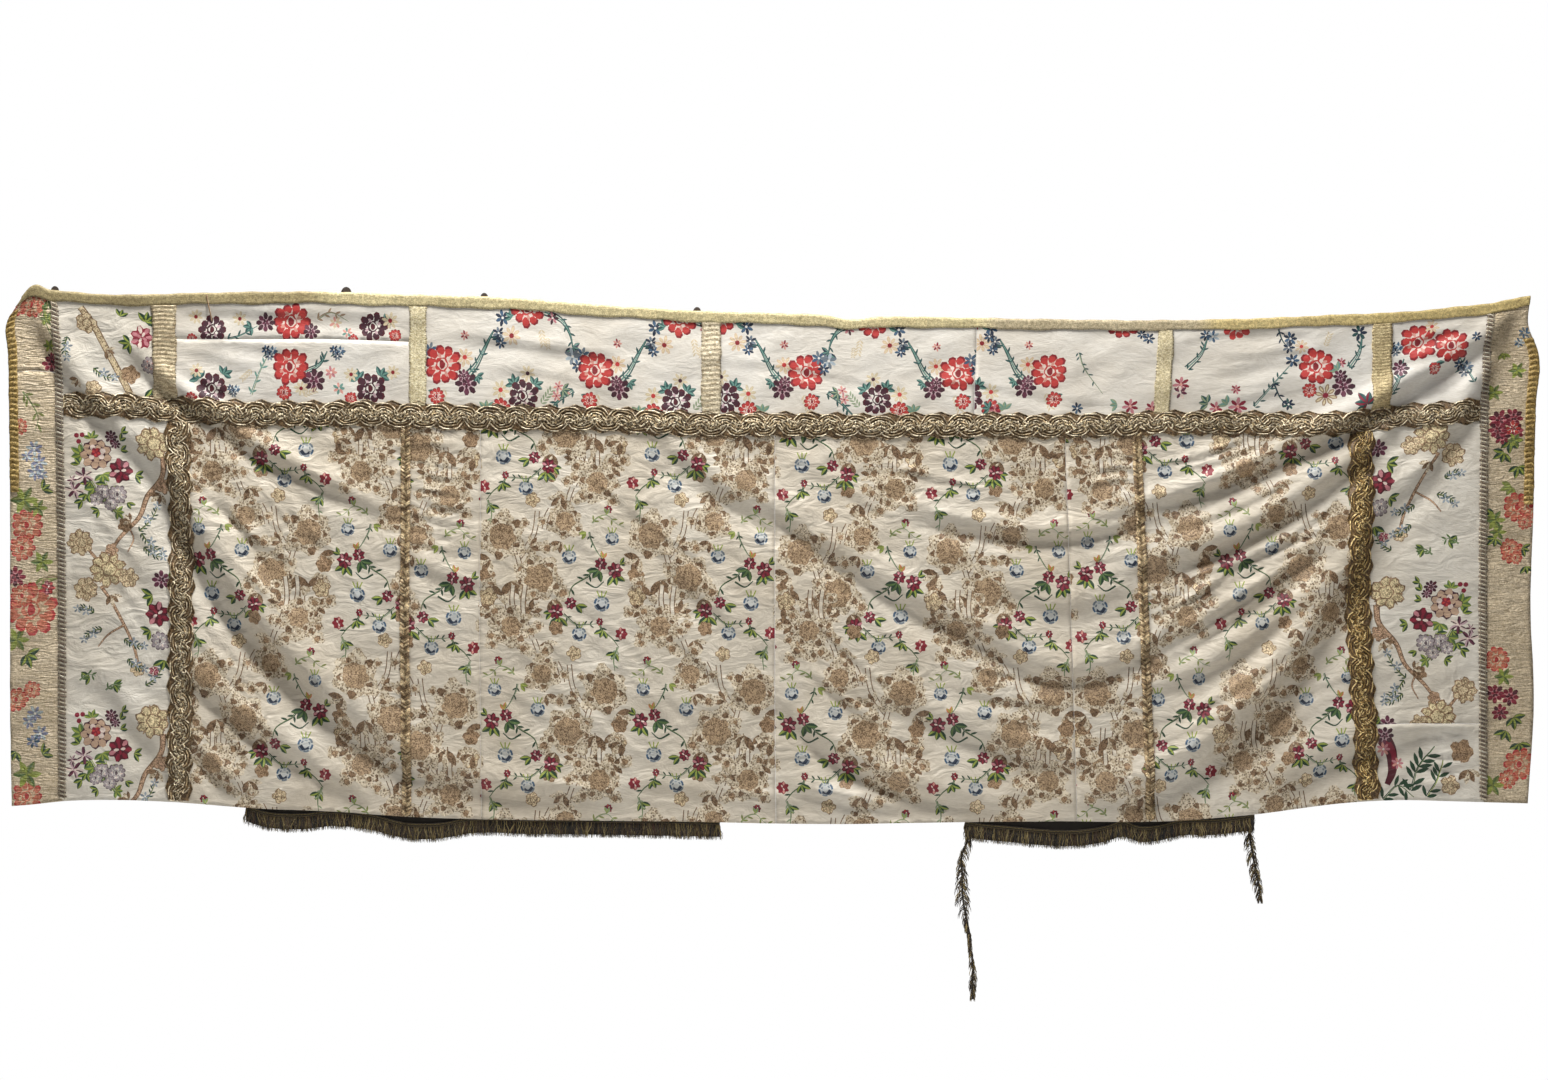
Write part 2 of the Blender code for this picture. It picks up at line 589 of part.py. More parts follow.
def fringe(name, path, root_side, tip_of, pitch, collection):
    """A heading along path, with a four-sided lock tapering from each step of it.

    path holds (point, unit vector across the heading, half width). root_side says on which side of a
    step its lock grows, and tip_of gives the lock's end.
    """
    points = []
    for centre, across, half in path:
        for side, y in ((-1, 1), (1, 1), (1, -1), (-1, -1)):
            points.append(centre + across * side * half + np.array([0, y * HEADING_THICK / 2, 0]))
    faces = [[0, 1, 2, 3]]
    for n in range(len(path) - 1):
        ring = [n * 4 + k for k in range(4)]
        after = [r + 4 for r in ring]
        side = root_side(n)
        faces.append([ring[1], ring[0], after[0], after[1]])
        faces.append([ring[3], ring[2], after[2], after[3]])
        left = [ring[0], ring[3], after[3], after[0]]
        right = [ring[2], ring[1], after[1], after[2]]
        root, plain = (right, left) if side > 0 else (left, right)
        faces.append(plain)
        corners = np.array([points[k] for k in root])
        middle = corners.mean(axis=0)
        tip = tip_of(n, middle, side)
        belly = middle + (tip - middle) * 0.55
        first = len(points)
        for corner in corners:
            off = corner - middle
            off = np.array([off[0], np.sign(off[1]) * LOCK_THICK / 2, off[2]])
            points.append(belly + off * np.array([LOCK_SPREAD, 1, LOCK_SPREAD]))
        points.append(tip)
        for k in range(4):
            a, b = root[k], root[(k + 1) % 4]
            c, d = first + (k + 1) % 4, first + k
            faces.append([a, b, c, d])
            faces.append([d, c, first + 4])
    end = (len(path) - 1) * 4
    faces.append([end + 3, end + 2, end + 1, end])
    add_solid(name, points, faces, "fringe_thread", collection)


def add_hem_fringe(name, table, seed, collection):
    """A length of fringe along the hem, drooping where its heading has come away."""
    chance = np.random.default_rng(seed)
    start, end = table[0][0], table[-1][0]
    count = round((end - start) / LOCK_PITCH)
    places = np.linspace(start, end, count + 1)
    droops = smooth_table([row[0] for row in table], [row[1] for row in table], places)
    down = np.array([0.0, 0.0, -1.0])
    path = []
    for u, droop in zip(places, droops):
        hem = on_facets(u, DROP)
        centre = np.array([hem[0], behind_hem(u), hem[2] - droop - HEADING_HALF])
        path.append((centre, down, HEADING_HALF))

    def tip_of(_, middle, __):
        sway = chance.uniform(-LOCK_SWAY, LOCK_SWAY)
        length = FRINGE_DEPTH - 2 * HEADING_HALF + chance.uniform(-LOCK_SWAY, LOCK_SWAY)
        return middle + np.array([sway, chance.uniform(-LOCK_STRAY, LOCK_STRAY), -length])

    fringe(name, path, lambda n: 1, tip_of, LOCK_PITCH, collection)


def add_tail(name, table, seed, collection):
    """A torn length of fringe hanging down behind the rest, with locks to both sides of its heading."""
    chance = np.random.default_rng(seed)
    flat_u = np.array([table[0][1] + WIDTH / 2])
    u = (flat_u - drift(flat_u, np.array([DROP])))[0]
    y = max(behind_hem(u + reach) for reach in (-LOCK_PITCH, 0, LOCK_PITCH)) + HEADING_THICK + LAYER_GAP
    heights = [-row[0] for row in table]
    count = round((heights[-1] - heights[0]) / TAIL_PITCH)
    levels = np.linspace(heights[0], heights[-1], count + 1)
    centres = smooth_table(heights, [row[1] for row in table], levels)
    widths = smooth_table(heights, [row[2] for row in table], levels)
    across = np.array([-1.0, 0.0, 0.0])
    path = [
        (np.array([x, y, -level]), across, min(TAIL_CORE_HALF, half * 0.5))
        for level, x, half in zip(levels, centres, widths)
    ]

    def tip_of(n, middle, side):
        reach = max(widths[n] - TAIL_CORE_HALF, 0.002)
        drop = TAIL_PITCH * (0.9 + chance.uniform(0, 0.25))
        return middle + np.array([-side * reach, chance.uniform(-LOCK_STRAY, LOCK_STRAY), -drop])

    fringe(name, path, lambda n: 1 if n % 2 else -1, tip_of, TAIL_PITCH, collection)


def add_tab(name, u, width, height, collection):
    """A folded tape tab behind the binding, its round top standing above the edge."""
    edge = on_facets(u, 0.0)
    rise = LAYER_GAP + TRIM_THICK + height
    half = width / 2
    arch = [(half * math.cos(math.pi * k / 8), rise * math.sin(math.pi * k / 8)) for k in range(9)]
    outline = arch + [(-half * 0.8, -TAB_TUCK), (half * 0.8, -TAB_TUCK)]
    curve = bpy.data.curves.new(name, "CURVE")
    curve.dimensions = "2D"
    curve.fill_mode = "BOTH"
    curve.extrude = TAB_THICK / 2
    spline = curve.splines.new("POLY")
    spline.points.add(len(outline) - 1)
    for point, (x, z) in zip(spline.points, outline):
        point.co = (x, z, 0, 1)
    spline.use_cyclic_u = True
    curve.materials.append(material("dark_tape"))
    obj = bpy.data.objects.new(name, curve)
    nearby = [on_facets(u + k * half / 2, v)[1] for k in (-2, -1, 0, 1, 2) for v in (0, TAB_TUCK)]
    back = max(nearby) + CLOTH_THICK + 2 * LAYER_GAP + TRIM_THICK
    obj.location = (edge[0], back + TAB_THICK / 2, edge[2])
    obj.rotation_euler = (math.pi / 2, 0, 0)
    collection.objects.link(obj)


def main():
    clear_scene()
    collection = bpy.data.collections.new("altar_frontal")
    bpy.context.scene.collection.children.link(collection)
    for row in PANELS:
        panel(*row, collection)
    add_trims(collection)
    add_binding(collection)
    add_hem_fringe("fringe_left", FRINGE_L, 3, collection)
    add_hem_fringe("fringe_right", FRINGE_R, 5, collection)
    add_tail("fringe_tail_left", TAIL_L, 7, collection)
    add_tail("fringe_tail_right", TAIL_R, 11, collection)
    for row in TABS:
        add_tab(*row, collection)


main()
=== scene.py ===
"""The looks of a pieced brocade altar frontal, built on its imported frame.

Each silk panel is one sheet whose faces are cut along the outlines of its woven motifs, so the motifs lie
in the cloth itself. The sheets hang in the frame's folds, with finer creases added. Laces, braids and the
fringe are made thread by thread. A place on the cloth is (u, v), in metres from its top left corner; motif
tables count in units of UNIT metres on the hanging cloth, x to the right and y down.
"""

import math

import bpy
import numpy as np
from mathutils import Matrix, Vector
from mathutils.geometry import delaunay_2d_cdt


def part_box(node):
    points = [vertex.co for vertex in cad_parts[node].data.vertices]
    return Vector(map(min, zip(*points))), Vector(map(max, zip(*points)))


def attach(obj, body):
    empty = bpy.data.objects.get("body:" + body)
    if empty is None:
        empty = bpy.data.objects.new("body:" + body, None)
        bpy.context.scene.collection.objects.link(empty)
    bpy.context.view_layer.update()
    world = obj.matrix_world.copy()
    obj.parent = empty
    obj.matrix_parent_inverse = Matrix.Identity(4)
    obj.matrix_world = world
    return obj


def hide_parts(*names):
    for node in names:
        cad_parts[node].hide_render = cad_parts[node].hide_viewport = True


# Sizes in metres; UNIT is one unit of the motif tables, and ORIGIN the middle of the top edge in them
WIDTH = 2.800
DROP = 0.930
UNIT = 0.00183
ORIGIN_X, ORIGIN_Y = 770.0, 314.0
LACE_CENTRE = 0.200
LACE_HALF = 0.0205
SCALLOP_DEPTH = 0.0050
SCALLOP_PITCH = 0.0480
FAN_REACH = 0.0052
FAN_FOOT = 0.0090
FAN_RINGS = (1.0, 0.83, 0.66, 0.49, 0.32)
SPANGLE_SPACING = {True: 0.0060, False: 0.0110}  # by whether the lace is bright
BINDING_DEPTH = 0.017
SEAM_GAP = 0.0004
CLOTH_THICK = 0.0026
TRIM_LIFT = 0.0016
TRIM_THICK = 0.0010
BINDING_THICK = 0.0006
BINDING_COLUMNS = 560
BRAID_CELLS = 8
STRIP_STEP = 0.0016
STITCH_SPACING = 0.007
PLAIT_PITCH, PLAIT_HALF = 0.0034, 0.0088
LADDER_PITCH, LADDER_HALF = 0.0040, 0.0075
GIMP_INSET, GIMP_HALF = 0.0094, 0.0088
TRIM_FOOT = DROP - 0.004
SEAM_DIP, SEAM_SPREAD = 0.0011, 0.0028
HEM_ROLL, HEM_INSET, HEM_SPREAD = 0.0011, 0.0025, 0.0022
SPLIT_SEAM = 0.076
EDGE_SEAM = 0.143
FOOT_SEAM = 0.784
EDGE_L, EDGE_R = 0.098, 2.710
FRONTLET_SEAMS = (0.290, 0.754, 1.292, 1.779, 2.126, 2.522)
FIELD_SEAMS = (0.315, 0.732, 0.869, 1.409, 1.949, 2.082, 2.487)
GRID_PITCH = 0.0074  # spacing of a panel's points between its motifs
CELL = 0.0025  # spacing of the grid that holds the whole cloth's folds
FOLD_GAIN = 1.15
FOLD_SHARPNESS = 0.80
LIFT_LIMIT = 0.028
MOTIF_REACH = 0.17
FLOOR_HEIGHT = -1.75
CAMERA_DISTANCE = 6.5
PICTURE_WIDTH, PICTURE_HEIGHT = 1548, 1080
SENSOR_WIDTH = 36

# Height of the top edge, the lace's centre line and the hem, at places across the cloth
LEVELS = (
    (0.000, 0.030, -0.163, -0.902),
    (0.030, 0.049, -0.164, -0.900),
    (0.100, 0.042, -0.165, -0.893),
    (0.210, 0.034, -0.167, -0.891),
    (0.310, 0.036, -0.176, -0.895),
    (0.450, 0.039, -0.183, -0.906),
    (0.595, 0.039, -0.183, -0.912),
    (0.741, 0.034, -0.187, -0.922),
    (0.906, 0.029, -0.190, -0.927),
    (1.089, 0.015, -0.194, -0.929),
    (1.272, 0.004, -0.201, -0.931),
    (1.400, 0.000, -0.203, -0.934),
    (1.500, -0.004, -0.204, -0.935),
    (1.546, -0.011, -0.205, -0.935),
    (1.600, -0.007, -0.204, -0.934),
    (1.729, -0.008, -0.203, -0.932),
    (1.912, -0.011, -0.205, -0.930),
    (2.095, -0.013, -0.199, -0.931),
    (2.278, -0.010, -0.199, -0.917),
    (2.461, -0.002, -0.199, -0.895),
    (2.553, 0.002, -0.188, -0.891),
    (2.644, 0.011, -0.181, -0.893),
    (2.718, 0.020, -0.174, -0.895),
    (2.800, 0.033, -0.168, -0.897),
)
DRIFT_V = (0.000, 0.050, 0.100, 0.200, 0.400, 0.560, 0.740, 0.930)
DRIFT = (
    (0.000, (0.026, -0.002, 0.001, 0.003, 0.005, 0.005, 0.005, 0.008)),
    (0.098, (-0.016, -0.010, -0.006, -0.003, 0.001, 0.003, 0.003, 0.003)),
    (0.315, (-0.002, -0.001, 0.000, 0.000, 0.003, 0.006, 0.003, 0.000)),
    (0.732, (0.000, 0.000, 0.000, 0.000, 0.000, -0.002, 0.000, 0.001)),
    (1.409, (0.000, 0.000, 0.000, 0.000, 0.000, 0.000, 0.000, 0.002)),
    (2.082, (0.000, 0.000, -0.004, -0.009, -0.002, 0.004, 0.011, 0.018)),
    (2.487, (0.000, 0.000, 0.000, -0.001, -0.003, -0.008, 0.002, 0.010)),
    (2.710, (0.016, 0.010, 0.006, 0.002, -0.001, -0.002, -0.002, 0.000)),
    (2.800, (-0.004, -0.008, 0.010, 0.006, 0.001, -0.004, 0.002, -0.009)),
)

# Folds of the frame: start, middle and end (u, v), width across the slope, height of crest and trough
FOLDS = (
    ((0.060, 0.060), (0.150, 0.190), (0.300, 0.350), 0.045, 0.007),
    ((0.290, 0.330), (0.470, 0.610), (0.735, 0.835), 0.062, 0.019),
    ((0.705, 0.810), (0.869, 0.868), (1.089, 0.894), 0.045, 0.007),
    ((0.335, 0.700), (0.476, 0.798), (0.630, 0.895), 0.040, 0.009),
    ((0.342, 0.825), (0.380, 0.865), (0.425, 0.895), 0.030, 0.005),
    ((0.370, 0.210), (0.503, 0.290), (0.670, 0.370), 0.032, 0.009),
    ((0.235, 0.110), (0.329, 0.180), (0.415, 0.205), 0.034, 0.008),
    ((0.170, 0.715), (0.229, 0.790), (0.290, 0.870), 0.045, 0.005),
    ((0.340, 0.024), (0.522, 0.034), (0.740, 0.042), 0.030, 0.003),
    ((0.735, 0.460), (0.814, 0.496), (0.890, 0.510), 0.030, 0.004),
    ((1.190, 0.228), (1.308, 0.319), (1.440, 0.385), 0.045, 0.008),
    ((1.150, 0.360), (1.235, 0.485), (1.340, 0.575), 0.050, 0.005),
    ((1.660, 0.362), (1.894, 0.402), (2.110, 0.378), 0.032, 0.010),
    ((2.020, 0.370), (2.242, 0.306), (2.440, 0.214), 0.034, 0.011),
    ((2.390, 0.232), (2.534, 0.165), (2.735, 0.050), 0.042, 0.013),
    ((2.090, 0.464), (2.297, 0.390), (2.535, 0.232), 0.040, 0.013),
    ((1.420, 0.358), (1.620, 0.502), (1.850, 0.615), 0.048, 0.011),
    ((1.800, 0.600), (1.931, 0.659), (2.090, 0.618), 0.040, 0.010),
    ((2.070, 0.622), (2.250, 0.540), (2.440, 0.415), 0.034, 0.006),
    ((2.110, 0.690), (2.242, 0.632), (2.395, 0.535), 0.034, 0.007),
    ((2.010, 0.890), (2.297, 0.730), (2.515, 0.400), 0.064, 0.020),
    ((2.325, 0.895), (2.443, 0.835), (2.640, 0.800), 0.055, 0.010),
    ((1.430, 0.722), (1.583, 0.837), (1.785, 0.902), 0.042, 0.011),
    ((1.595, 0.700), (1.803, 0.784), (1.960, 0.833), 0.046, 0.008),
    ((2.740, 0.070), (2.672, 0.213), (2.560, 0.360), 0.045, 0.008),
    ((1.437, 0.862), (1.546, 0.892), (1.645, 0.905), 0.028, 0.005),
    ((1.830, 0.500), (1.935, 0.535), (2.060, 0.500), 0.048, 0.005),
)

# Families of finer creases: the first crease's ends, the last one's, how many, width, height
CREASE_FAMILIES = (
    ((0.330, 0.260), (0.560, 0.520), (0.330, 0.620), (0.520, 0.800), 7, 0.017, 0.0022),
    ((0.350, 0.225), (0.640, 0.400), (0.480, 0.330), (0.720, 0.640), 5, 0.015, 0.0018),
    ((0.350, 0.640), (0.560, 0.840), (0.340, 0.800), (0.430, 0.905), 4, 0.016, 0.0022),
    ((0.745, 0.250), (0.845, 0.262), (0.745, 0.430), (0.850, 0.450), 8, 0.011, 0.0018),
    ((0.880, 0.330), (1.300, 0.640), (0.880, 0.560), (1.200, 0.860), 6, 0.020, 0.0017),
    ((1.000, 0.240), (1.400, 0.520), (1.420, 0.250), (1.700, 0.420), 6, 0.018, 0.0017),
    ((1.430, 0.420), (1.700, 0.640), (1.430, 0.640), (1.640, 0.820), 6, 0.018, 0.0022),
    ((1.560, 0.260), (1.900, 0.340), (1.500, 0.330), (1.940, 0.440), 5, 0.013, 0.0018),
    ((1.980, 0.260), (2.075, 0.250), (1.960, 0.560), (2.075, 0.545), 12, 0.010, 0.0019),
    ((2.095, 0.290), (2.290, 0.230), (2.100, 0.420), (2.440, 0.270), 6, 0.014, 0.0034),
    ((2.100, 0.500), (2.460, 0.330), (2.110, 0.640), (2.460, 0.440), 7, 0.016, 0.0040),
    ((2.110, 0.760), (2.460, 0.560), (2.180, 0.890), (2.470, 0.720), 6, 0.020, 0.0038),
    ((2.060, 0.850), (2.400, 0.620), (2.120, 0.885), (2.500, 0.560), 3, 0.017, 0.0030),
    ((0.330, 0.410), (0.610, 0.690), (0.360, 0.530), (0.680, 0.810), 3, 0.017, 0.0028),
    ((2.510, 0.300), (2.690, 0.215), (2.520, 0.420), (2.650, 0.300), 4, 0.016, 0.0020),
    ((2.560, 0.790), (2.690, 0.800), (2.560, 0.900), (2.690, 0.905), 6, 0.014, 0.0028),
    ((0.110, 0.230), (0.290, 0.420), (0.110, 0.420), (0.280, 0.640), 4, 0.022, 0.0018),
    ((0.310, 0.030), (0.620, 0.045), (0.300, 0.120), (0.440, 0.190), 4, 0.016, 0.0016),
    ((0.780, 0.110), (1.250, 0.170), (0.780, 0.050), (1.200, 0.080), 3, 0.022, 0.0012),
    ((1.320, 0.090), (1.760, 0.150), (1.800, 0.120), (2.090, 0.170), 3, 0.020, 0.0012),
    ((2.160, 0.040), (2.420, 0.035), (2.180, 0.170), (2.480, 0.120), 5, 0.018, 0.0018),
    ((2.550, 0.060), (2.700, 0.030), (2.540, 0.170), (2.690, 0.110), 4, 0.016, 0.0022),
    ((0.900, 0.860), (1.150, 0.905), (1.350, 0.870), (1.640, 0.915), 7, 0.016, 0.0020),
    ((0.880, 0.620), (1.060, 0.780), (1.180, 0.560), (1.390, 0.760), 5, 0.020, 0.0018),
    ((1.700, 0.560), (1.930, 0.600), (1.690, 0.720), (1.940, 0.760), 5, 0.018, 0.0022),
)
FOLD_SAMPLES = 24
BELLY = 0.012  # how far the middle of the cloth stands in front of its edges
TOP_HOLD = 0.035  # the folds begin within this distance of the top edge
# Gathers beside the field's seams: place across, reach, height
SIDE_PUCKERS = (
    (0.732, 0.024, 0.0019),
    (2.082, 0.026, 0.0024),
    (0.315, 0.016, 0.0010),
    (2.487, 0.018, 0.0014),
)
SLACK_HEIGHT = 0.00040
CRINKLE_HEIGHT = 0.00085
LACE_PULL = 0.0011

# Weaves, as the numbers of a panel's materials
SILK, LAME, DOTS = 0, 1, 2
SHADES = {
    "white": "#ece8e2",
    "frontlet": "#e9e4dc",
    "field": "#e6ddce",
    "orphrey": "#ebe5da",
    "edge": "#e0d0b6",
    "dots": "#dccfb9",
    "coral": "#c63d3a",
    "coral_deep": "#8e2029",
    "coral_pale": "#dd9d92",
    "salmon": "#d67d63",
    "blush": "#efdcd4",
    "crimson": "#8c1d35",
    "crimson_deep": "#551020",
    "rose": "#c7828c",
    "plum": "#451b2b",
    "plum_mid": "#6c3149",
    "plum_grey": "#6b5a61",
    "mauve": "#c9aab3",
    "mauve_grey": "#aba0a4",
    "teal": "#6d9a90",
    "teal_deep": "#2f5655",
    "blue": "#42607f",
    "blue_pale": "#b3c2ce",
    "blue_white": "#cdd0d0",
    "blue_grey": "#74818e",
    "blue_dull": "#a3afba",
    "navy": "#222e44",
    "green": "#5a7640",
    "green_deep": "#26452c",
    "lime": "#9dac4c",
    "olive": "#858f4c",
    "sage": "#95a586",
    "straw": "#e2d5b2",
    "tan": "#a58b70",
    "tan_pale": "#dbcbad",
    "tan_pink": "#c7a890",
    "tan_deep": "#8a7159",
    "gold": "#b29b80",
    "orange": "#d07f55",
    "peach": "#e0c3a6",
    "lilac": "#858db0",
}


def linear(code):
    """A linear colour from a hex code."""
    parts = [int(code[k : k + 2], 16) / 255 for k in (1, 3, 5)]
    return tuple(c / 12.92 if c <= 0.04045 else ((c + 0.055) / 1.055) ** 2.4 for c in parts)


def smooth_table(places, values, at):
    """Values at some places of a smooth curve through a table."""
    places = np.asarray(places, float)
    values = np.asarray(values, float)
    slopes = np.gradient(values, places)
    at = np.clip(at, places[0], places[-1])
    i = np.clip(np.searchsorted(places, at, side="right") - 1, 0, len(places) - 2)
    span = places[i + 1] - places[i]
    t = (at - places[i]) / span
    rise = t * t * (3 - 2 * t)
    lead = t * (1 - t) ** 2
    trail = -t * t * (1 - t)
    return (
        values[i] * (1 - rise)
        + values[i + 1] * rise
        + span * (slopes[i] * lead + slopes[i + 1] * trail)
    )


def drift(u, v):
    """How far sideways the cloth hangs from its flat place."""
    lines = np.array([row[0] for row in DRIFT])
    shifts = np.array([smooth_table(DRIFT_V, row[1], v) for row in DRIFT])
    i = np.clip(np.searchsorted(lines, u, side="right") - 1, 0, len(lines) - 2)
    t = (u - lines[i]) / (lines[i + 1] - lines[i])
    column = np.arange(len(u))
    return shifts[i, column] * (1 - t) + shifts[i + 1, column] * t


def fold_height(u, v, fold):
    """How far one fold lifts the cloth towards the front."""
    start, middle, end, width, height = fold
    a, m, b = (np.array(p) for p in (start, middle, end))
    reach = 2.2 * width
    low = np.minimum(np.minimum(a, m), b) - reach
    high = np.maximum(np.maximum(a, m), b) + reach
    near = (u > low[0]) & (u < high[0]) & (v > low[1]) & (v < high[1])
    lift = np.zeros(len(u))
    if not near.any():
        return lift
    t = np.linspace(0, 1, FOLD_SAMPLES)[:, None]
    control = 2 * m - (a + b) / 2
    line = (1 - t) ** 2 * a + 2 * t * (1 - t) * control + t**2 * b
    ahead = 2 * (1 - t) * (control - a) + 2 * t * (b - control)
    ahead /= np.linalg.norm(ahead, axis=1)[:, None]
    ahead *= np.where(ahead[:, :1] < 0, -1, 1)
    away = np.stack([u[near], v[near]], axis=1)[:, None, :] - line[None]
    nearest = np.argmin((away**2).sum(axis=2), axis=1)
    offset = away[np.arange(len(nearest)), nearest]
    along = ahead[nearest]
    below = along[:, 0] * offset[:, 1] - along[:, 1] * offset[:, 0]
    beyond = (offset * along).sum(axis=1)
    s = below / (width / 2)
    taper = np.sin(np.pi * np.clip(0.12 + 0.76 * t[nearest, 0], 0, 1))
    rise = np.sign(s) * np.abs(s) ** FOLD_SHARPNESS * np.exp((1 - s * s) / 2)
    lift[near] = -height * rise * taper * np.exp(-((beyond / width) ** 2))
    return lift


def fine_creases():
    """The creases of every family, each a little off its place."""
    chance = np.random.default_rng(21)
    found = []
    for a0, b0, a1, b1, count, width, height in CREASE_FAMILIES:
        for k in range(count):
            share = (k + chance.uniform(-0.3, 0.3)) / max(count - 1, 1)
            start = np.array(a0) * (1 - share) + np.array(a1) * share
            end = np.array(b0) * (1 - share) + np.array(b1) * share
            cut = chance.uniform(0.0, 0.3, 2)
            start, end = start + (end - start) * cut[0], end - (end - start) * cut[1]
            bend = np.array([end[1] - start[1], start[0] - end[0]]) * chance.uniform(-0.10, 0.10)
            middle = (start + end) / 2 + bend
            scale = chance.uniform(0.6, 1.25, 2)
            found.append((start, middle, end, width * scale[0], height * scale[1]))
    return found


WAVES = np.random.default_rng(4).uniform(size=(14, 4))


def slackness(u, v):
    """Soft unevenness of the cloth, with a few sharper crinkles in the field."""
    lift = np.zeros(len(u))
    for a, b, c, d in WAVES[:8]:
        turn, length = a * math.pi, 0.045 + 0.09 * b
        phase = (u * math.cos(turn) + v * math.sin(turn)) * 2 * math.pi / length + c * 6.3
        lift += SLACK_HEIGHT * (0.5 + d) * np.sin(phase + 1.5 * np.sin(u * 19 + v * 11 + c * 9))
    in_field = np.clip((v - LACE_CENTRE) / 0.05, 0, 1)
    for a, b, c, d in WAVES[8:]:
        turn, length = 0.5 + a * 1.8, 0.030 + 0.045 * b
        warp = 2.2 * np.sin(u * 23 * (0.6 + c)) + 1.8 * np.sin(v * 31 * (0.6 + d) + u * 9)
        phase = (u * math.cos(turn) + v * math.sin(turn)) * math.pi / length + c * 6.3 + warp
        patch = 0.5 + 0.5 * np.sin(u * 17 * (0.5 + d) + v * 13 + c * 7)
        lift += CRINKLE_HEIGHT * in_field * patch * (1 - np.abs(np.sin(phase))) ** 3
    for place, reach, height in SIDE_PUCKERS:
        beside = np.exp(-np.abs(u - place) / reach) * in_field
        ripple = np.sin(v * 2 * math.pi / 0.019 + 2.5 * np.sin(v * 37) + np.sign(u - place))
        lift += height * beside * ripple * (0.6 + 0.4 * np.sin(v * 53))
    under_lace = np.exp(-np.abs(v - LACE_CENTRE - LACE_HALF) / 0.016) * (v > LACE_CENTRE)
    lift += LACE_PULL * under_lace * np.sin(u * 2 * math.pi / 0.023 + 2.2 * np.sin(u * 41))
    return lift


def whole_cloth():
    """Sideways drift and lift of the whole cloth, on a grid of CELL metres."""
    across, down = round(WIDTH / CELL) + 1, round(DROP / CELL) + 1
    grid = np.meshgrid(np.linspace(0, WIDTH, across), np.linspace(0, DROP, down), indexing="ij")
    u, v = grid[0].ravel(), grid[1].ravel()
    lift = BELLY * np.sin(np.pi * u / WIDTH) * np.sin(np.pi * v / DROP)
    for fold in (*FOLDS, *fine_creases()):
        lift = lift + fold_height(u, v, fold)
    lift = FOLD_GAIN * lift + slackness(u, v)
    lift = LIFT_LIMIT * np.tanh(lift / LIFT_LIMIT)
    held = np.clip(v / TOP_HOLD, 0, 1)
    lift = lift * held * held * (3 - 2 * held)
    return drift(u, v).reshape(across, down), lift.reshape(across, down)


def read_grid(table, u, v):
    """Values between the places of a grid over the whole cloth."""
    a = np.clip(u / CELL, 0, table.shape[0] - 1.001)
    b = np.clip(v / CELL, 0, table.shape[1] - 1.001)
    i, j = a.astype(int), b.astype(int)
    s, t = a - i, b - j
    near = table[i, j] * (1 - t) + table[i, j + 1] * t
    return near * (1 - s) + (table[i + 1, j] * (1 - t) + table[i + 1, j + 1] * t) * s


def hang(u, v, out=0.0):
    """Points of the hanging cloth's front face, out metres in front of it."""
    u, v, out = np.broadcast_arrays(np.asarray(u, float), np.asarray(v, float), np.asarray(out, float))
    places = [row[0] for row in LEVELS]
    top, lace, hem = (smooth_table(places, [row[k] for row in LEVELS], u) for k in (1, 2, 3))
    in_frontlet = top + (lace - top) * v / LACE_CENTRE
    in_field = lace + (hem - lace) * (v - LACE_CENTRE) / (DROP - LACE_CENTRE)
    z = np.where(v < LACE_CENTRE, in_frontlet, in_field)
    x = u - WIDTH / 2 + read_grid(SHIFT, u, v)
    return np.stack([x, -(read_grid(LIFT, u, v) + out), z], axis=-1)


SHIFT, LIFT = whole_cloth()


def cloth_place(x, y):
    """The (u, v) of the cloth that hangs at a place counted in units."""
    across, height = (x - ORIGIN_X) * UNIT + WIDTH / 2, (ORIGIN_Y - y) * UNIT
    u, v = across, 0.4
    places = [row[0] for row in LEVELS]
    for _ in range(4):
        u = across - float(drift(np.array([u]), np.array([np.clip(v, 0, DROP)]))[0])
        top, lace, hem = (float(smooth_table(places, [r[k] for r in LEVELS], u)) for k in (1, 2, 3))
        if height > lace:
            v = LACE_CENTRE * (top - height) / (top - lace)
        else:
            v = LACE_CENTRE + (DROP - LACE_CENTRE) * (lace - height) / (lace - hem)
    return u, v


# Motif shapes: each is a list of (outline, colour name, weave), in units around its own middle


def turned(points, angle, x, y):
    c, s = math.cos(angle), math.sin(angle)
    return [(x + px * c - py * s, y + px * s + py * c) for px, py in points]


def lobed(x, y, radius, lobes, depth, turn=0.0, tall=1.0):
    """A closed outline of round lobes with a notch between each two."""
    outline = []
    for k in range(lobes * 3):
        r = radius * (1 - depth * (0.15, 1.0, 0.15)[k % 3]) * (1 + 0.06 * math.sin(k * 1.7 + x))
        angle = turn + 2 * math.pi * (k + 0.5) / lobes / 3
        outline.append((x + r * math.cos(angle), y + r * tall * math.sin(angle)))
    return outline


def blob(x, y, radius):
    return [(x + radius * math.cos(a), y + radius * math.sin(a)) for a in np.linspace(0.3, 6.58, 8)[:-1]]


def petal(x, y, angle, inner, outer, width):
    span = outer - inner
    side = [(inner, width * 0.22), (inner + span * 0.55, width * 0.50), (outer, width * 0.24)]
    return turned(side + [(a, -w) for a, w in side[::-1]], angle, x, y)


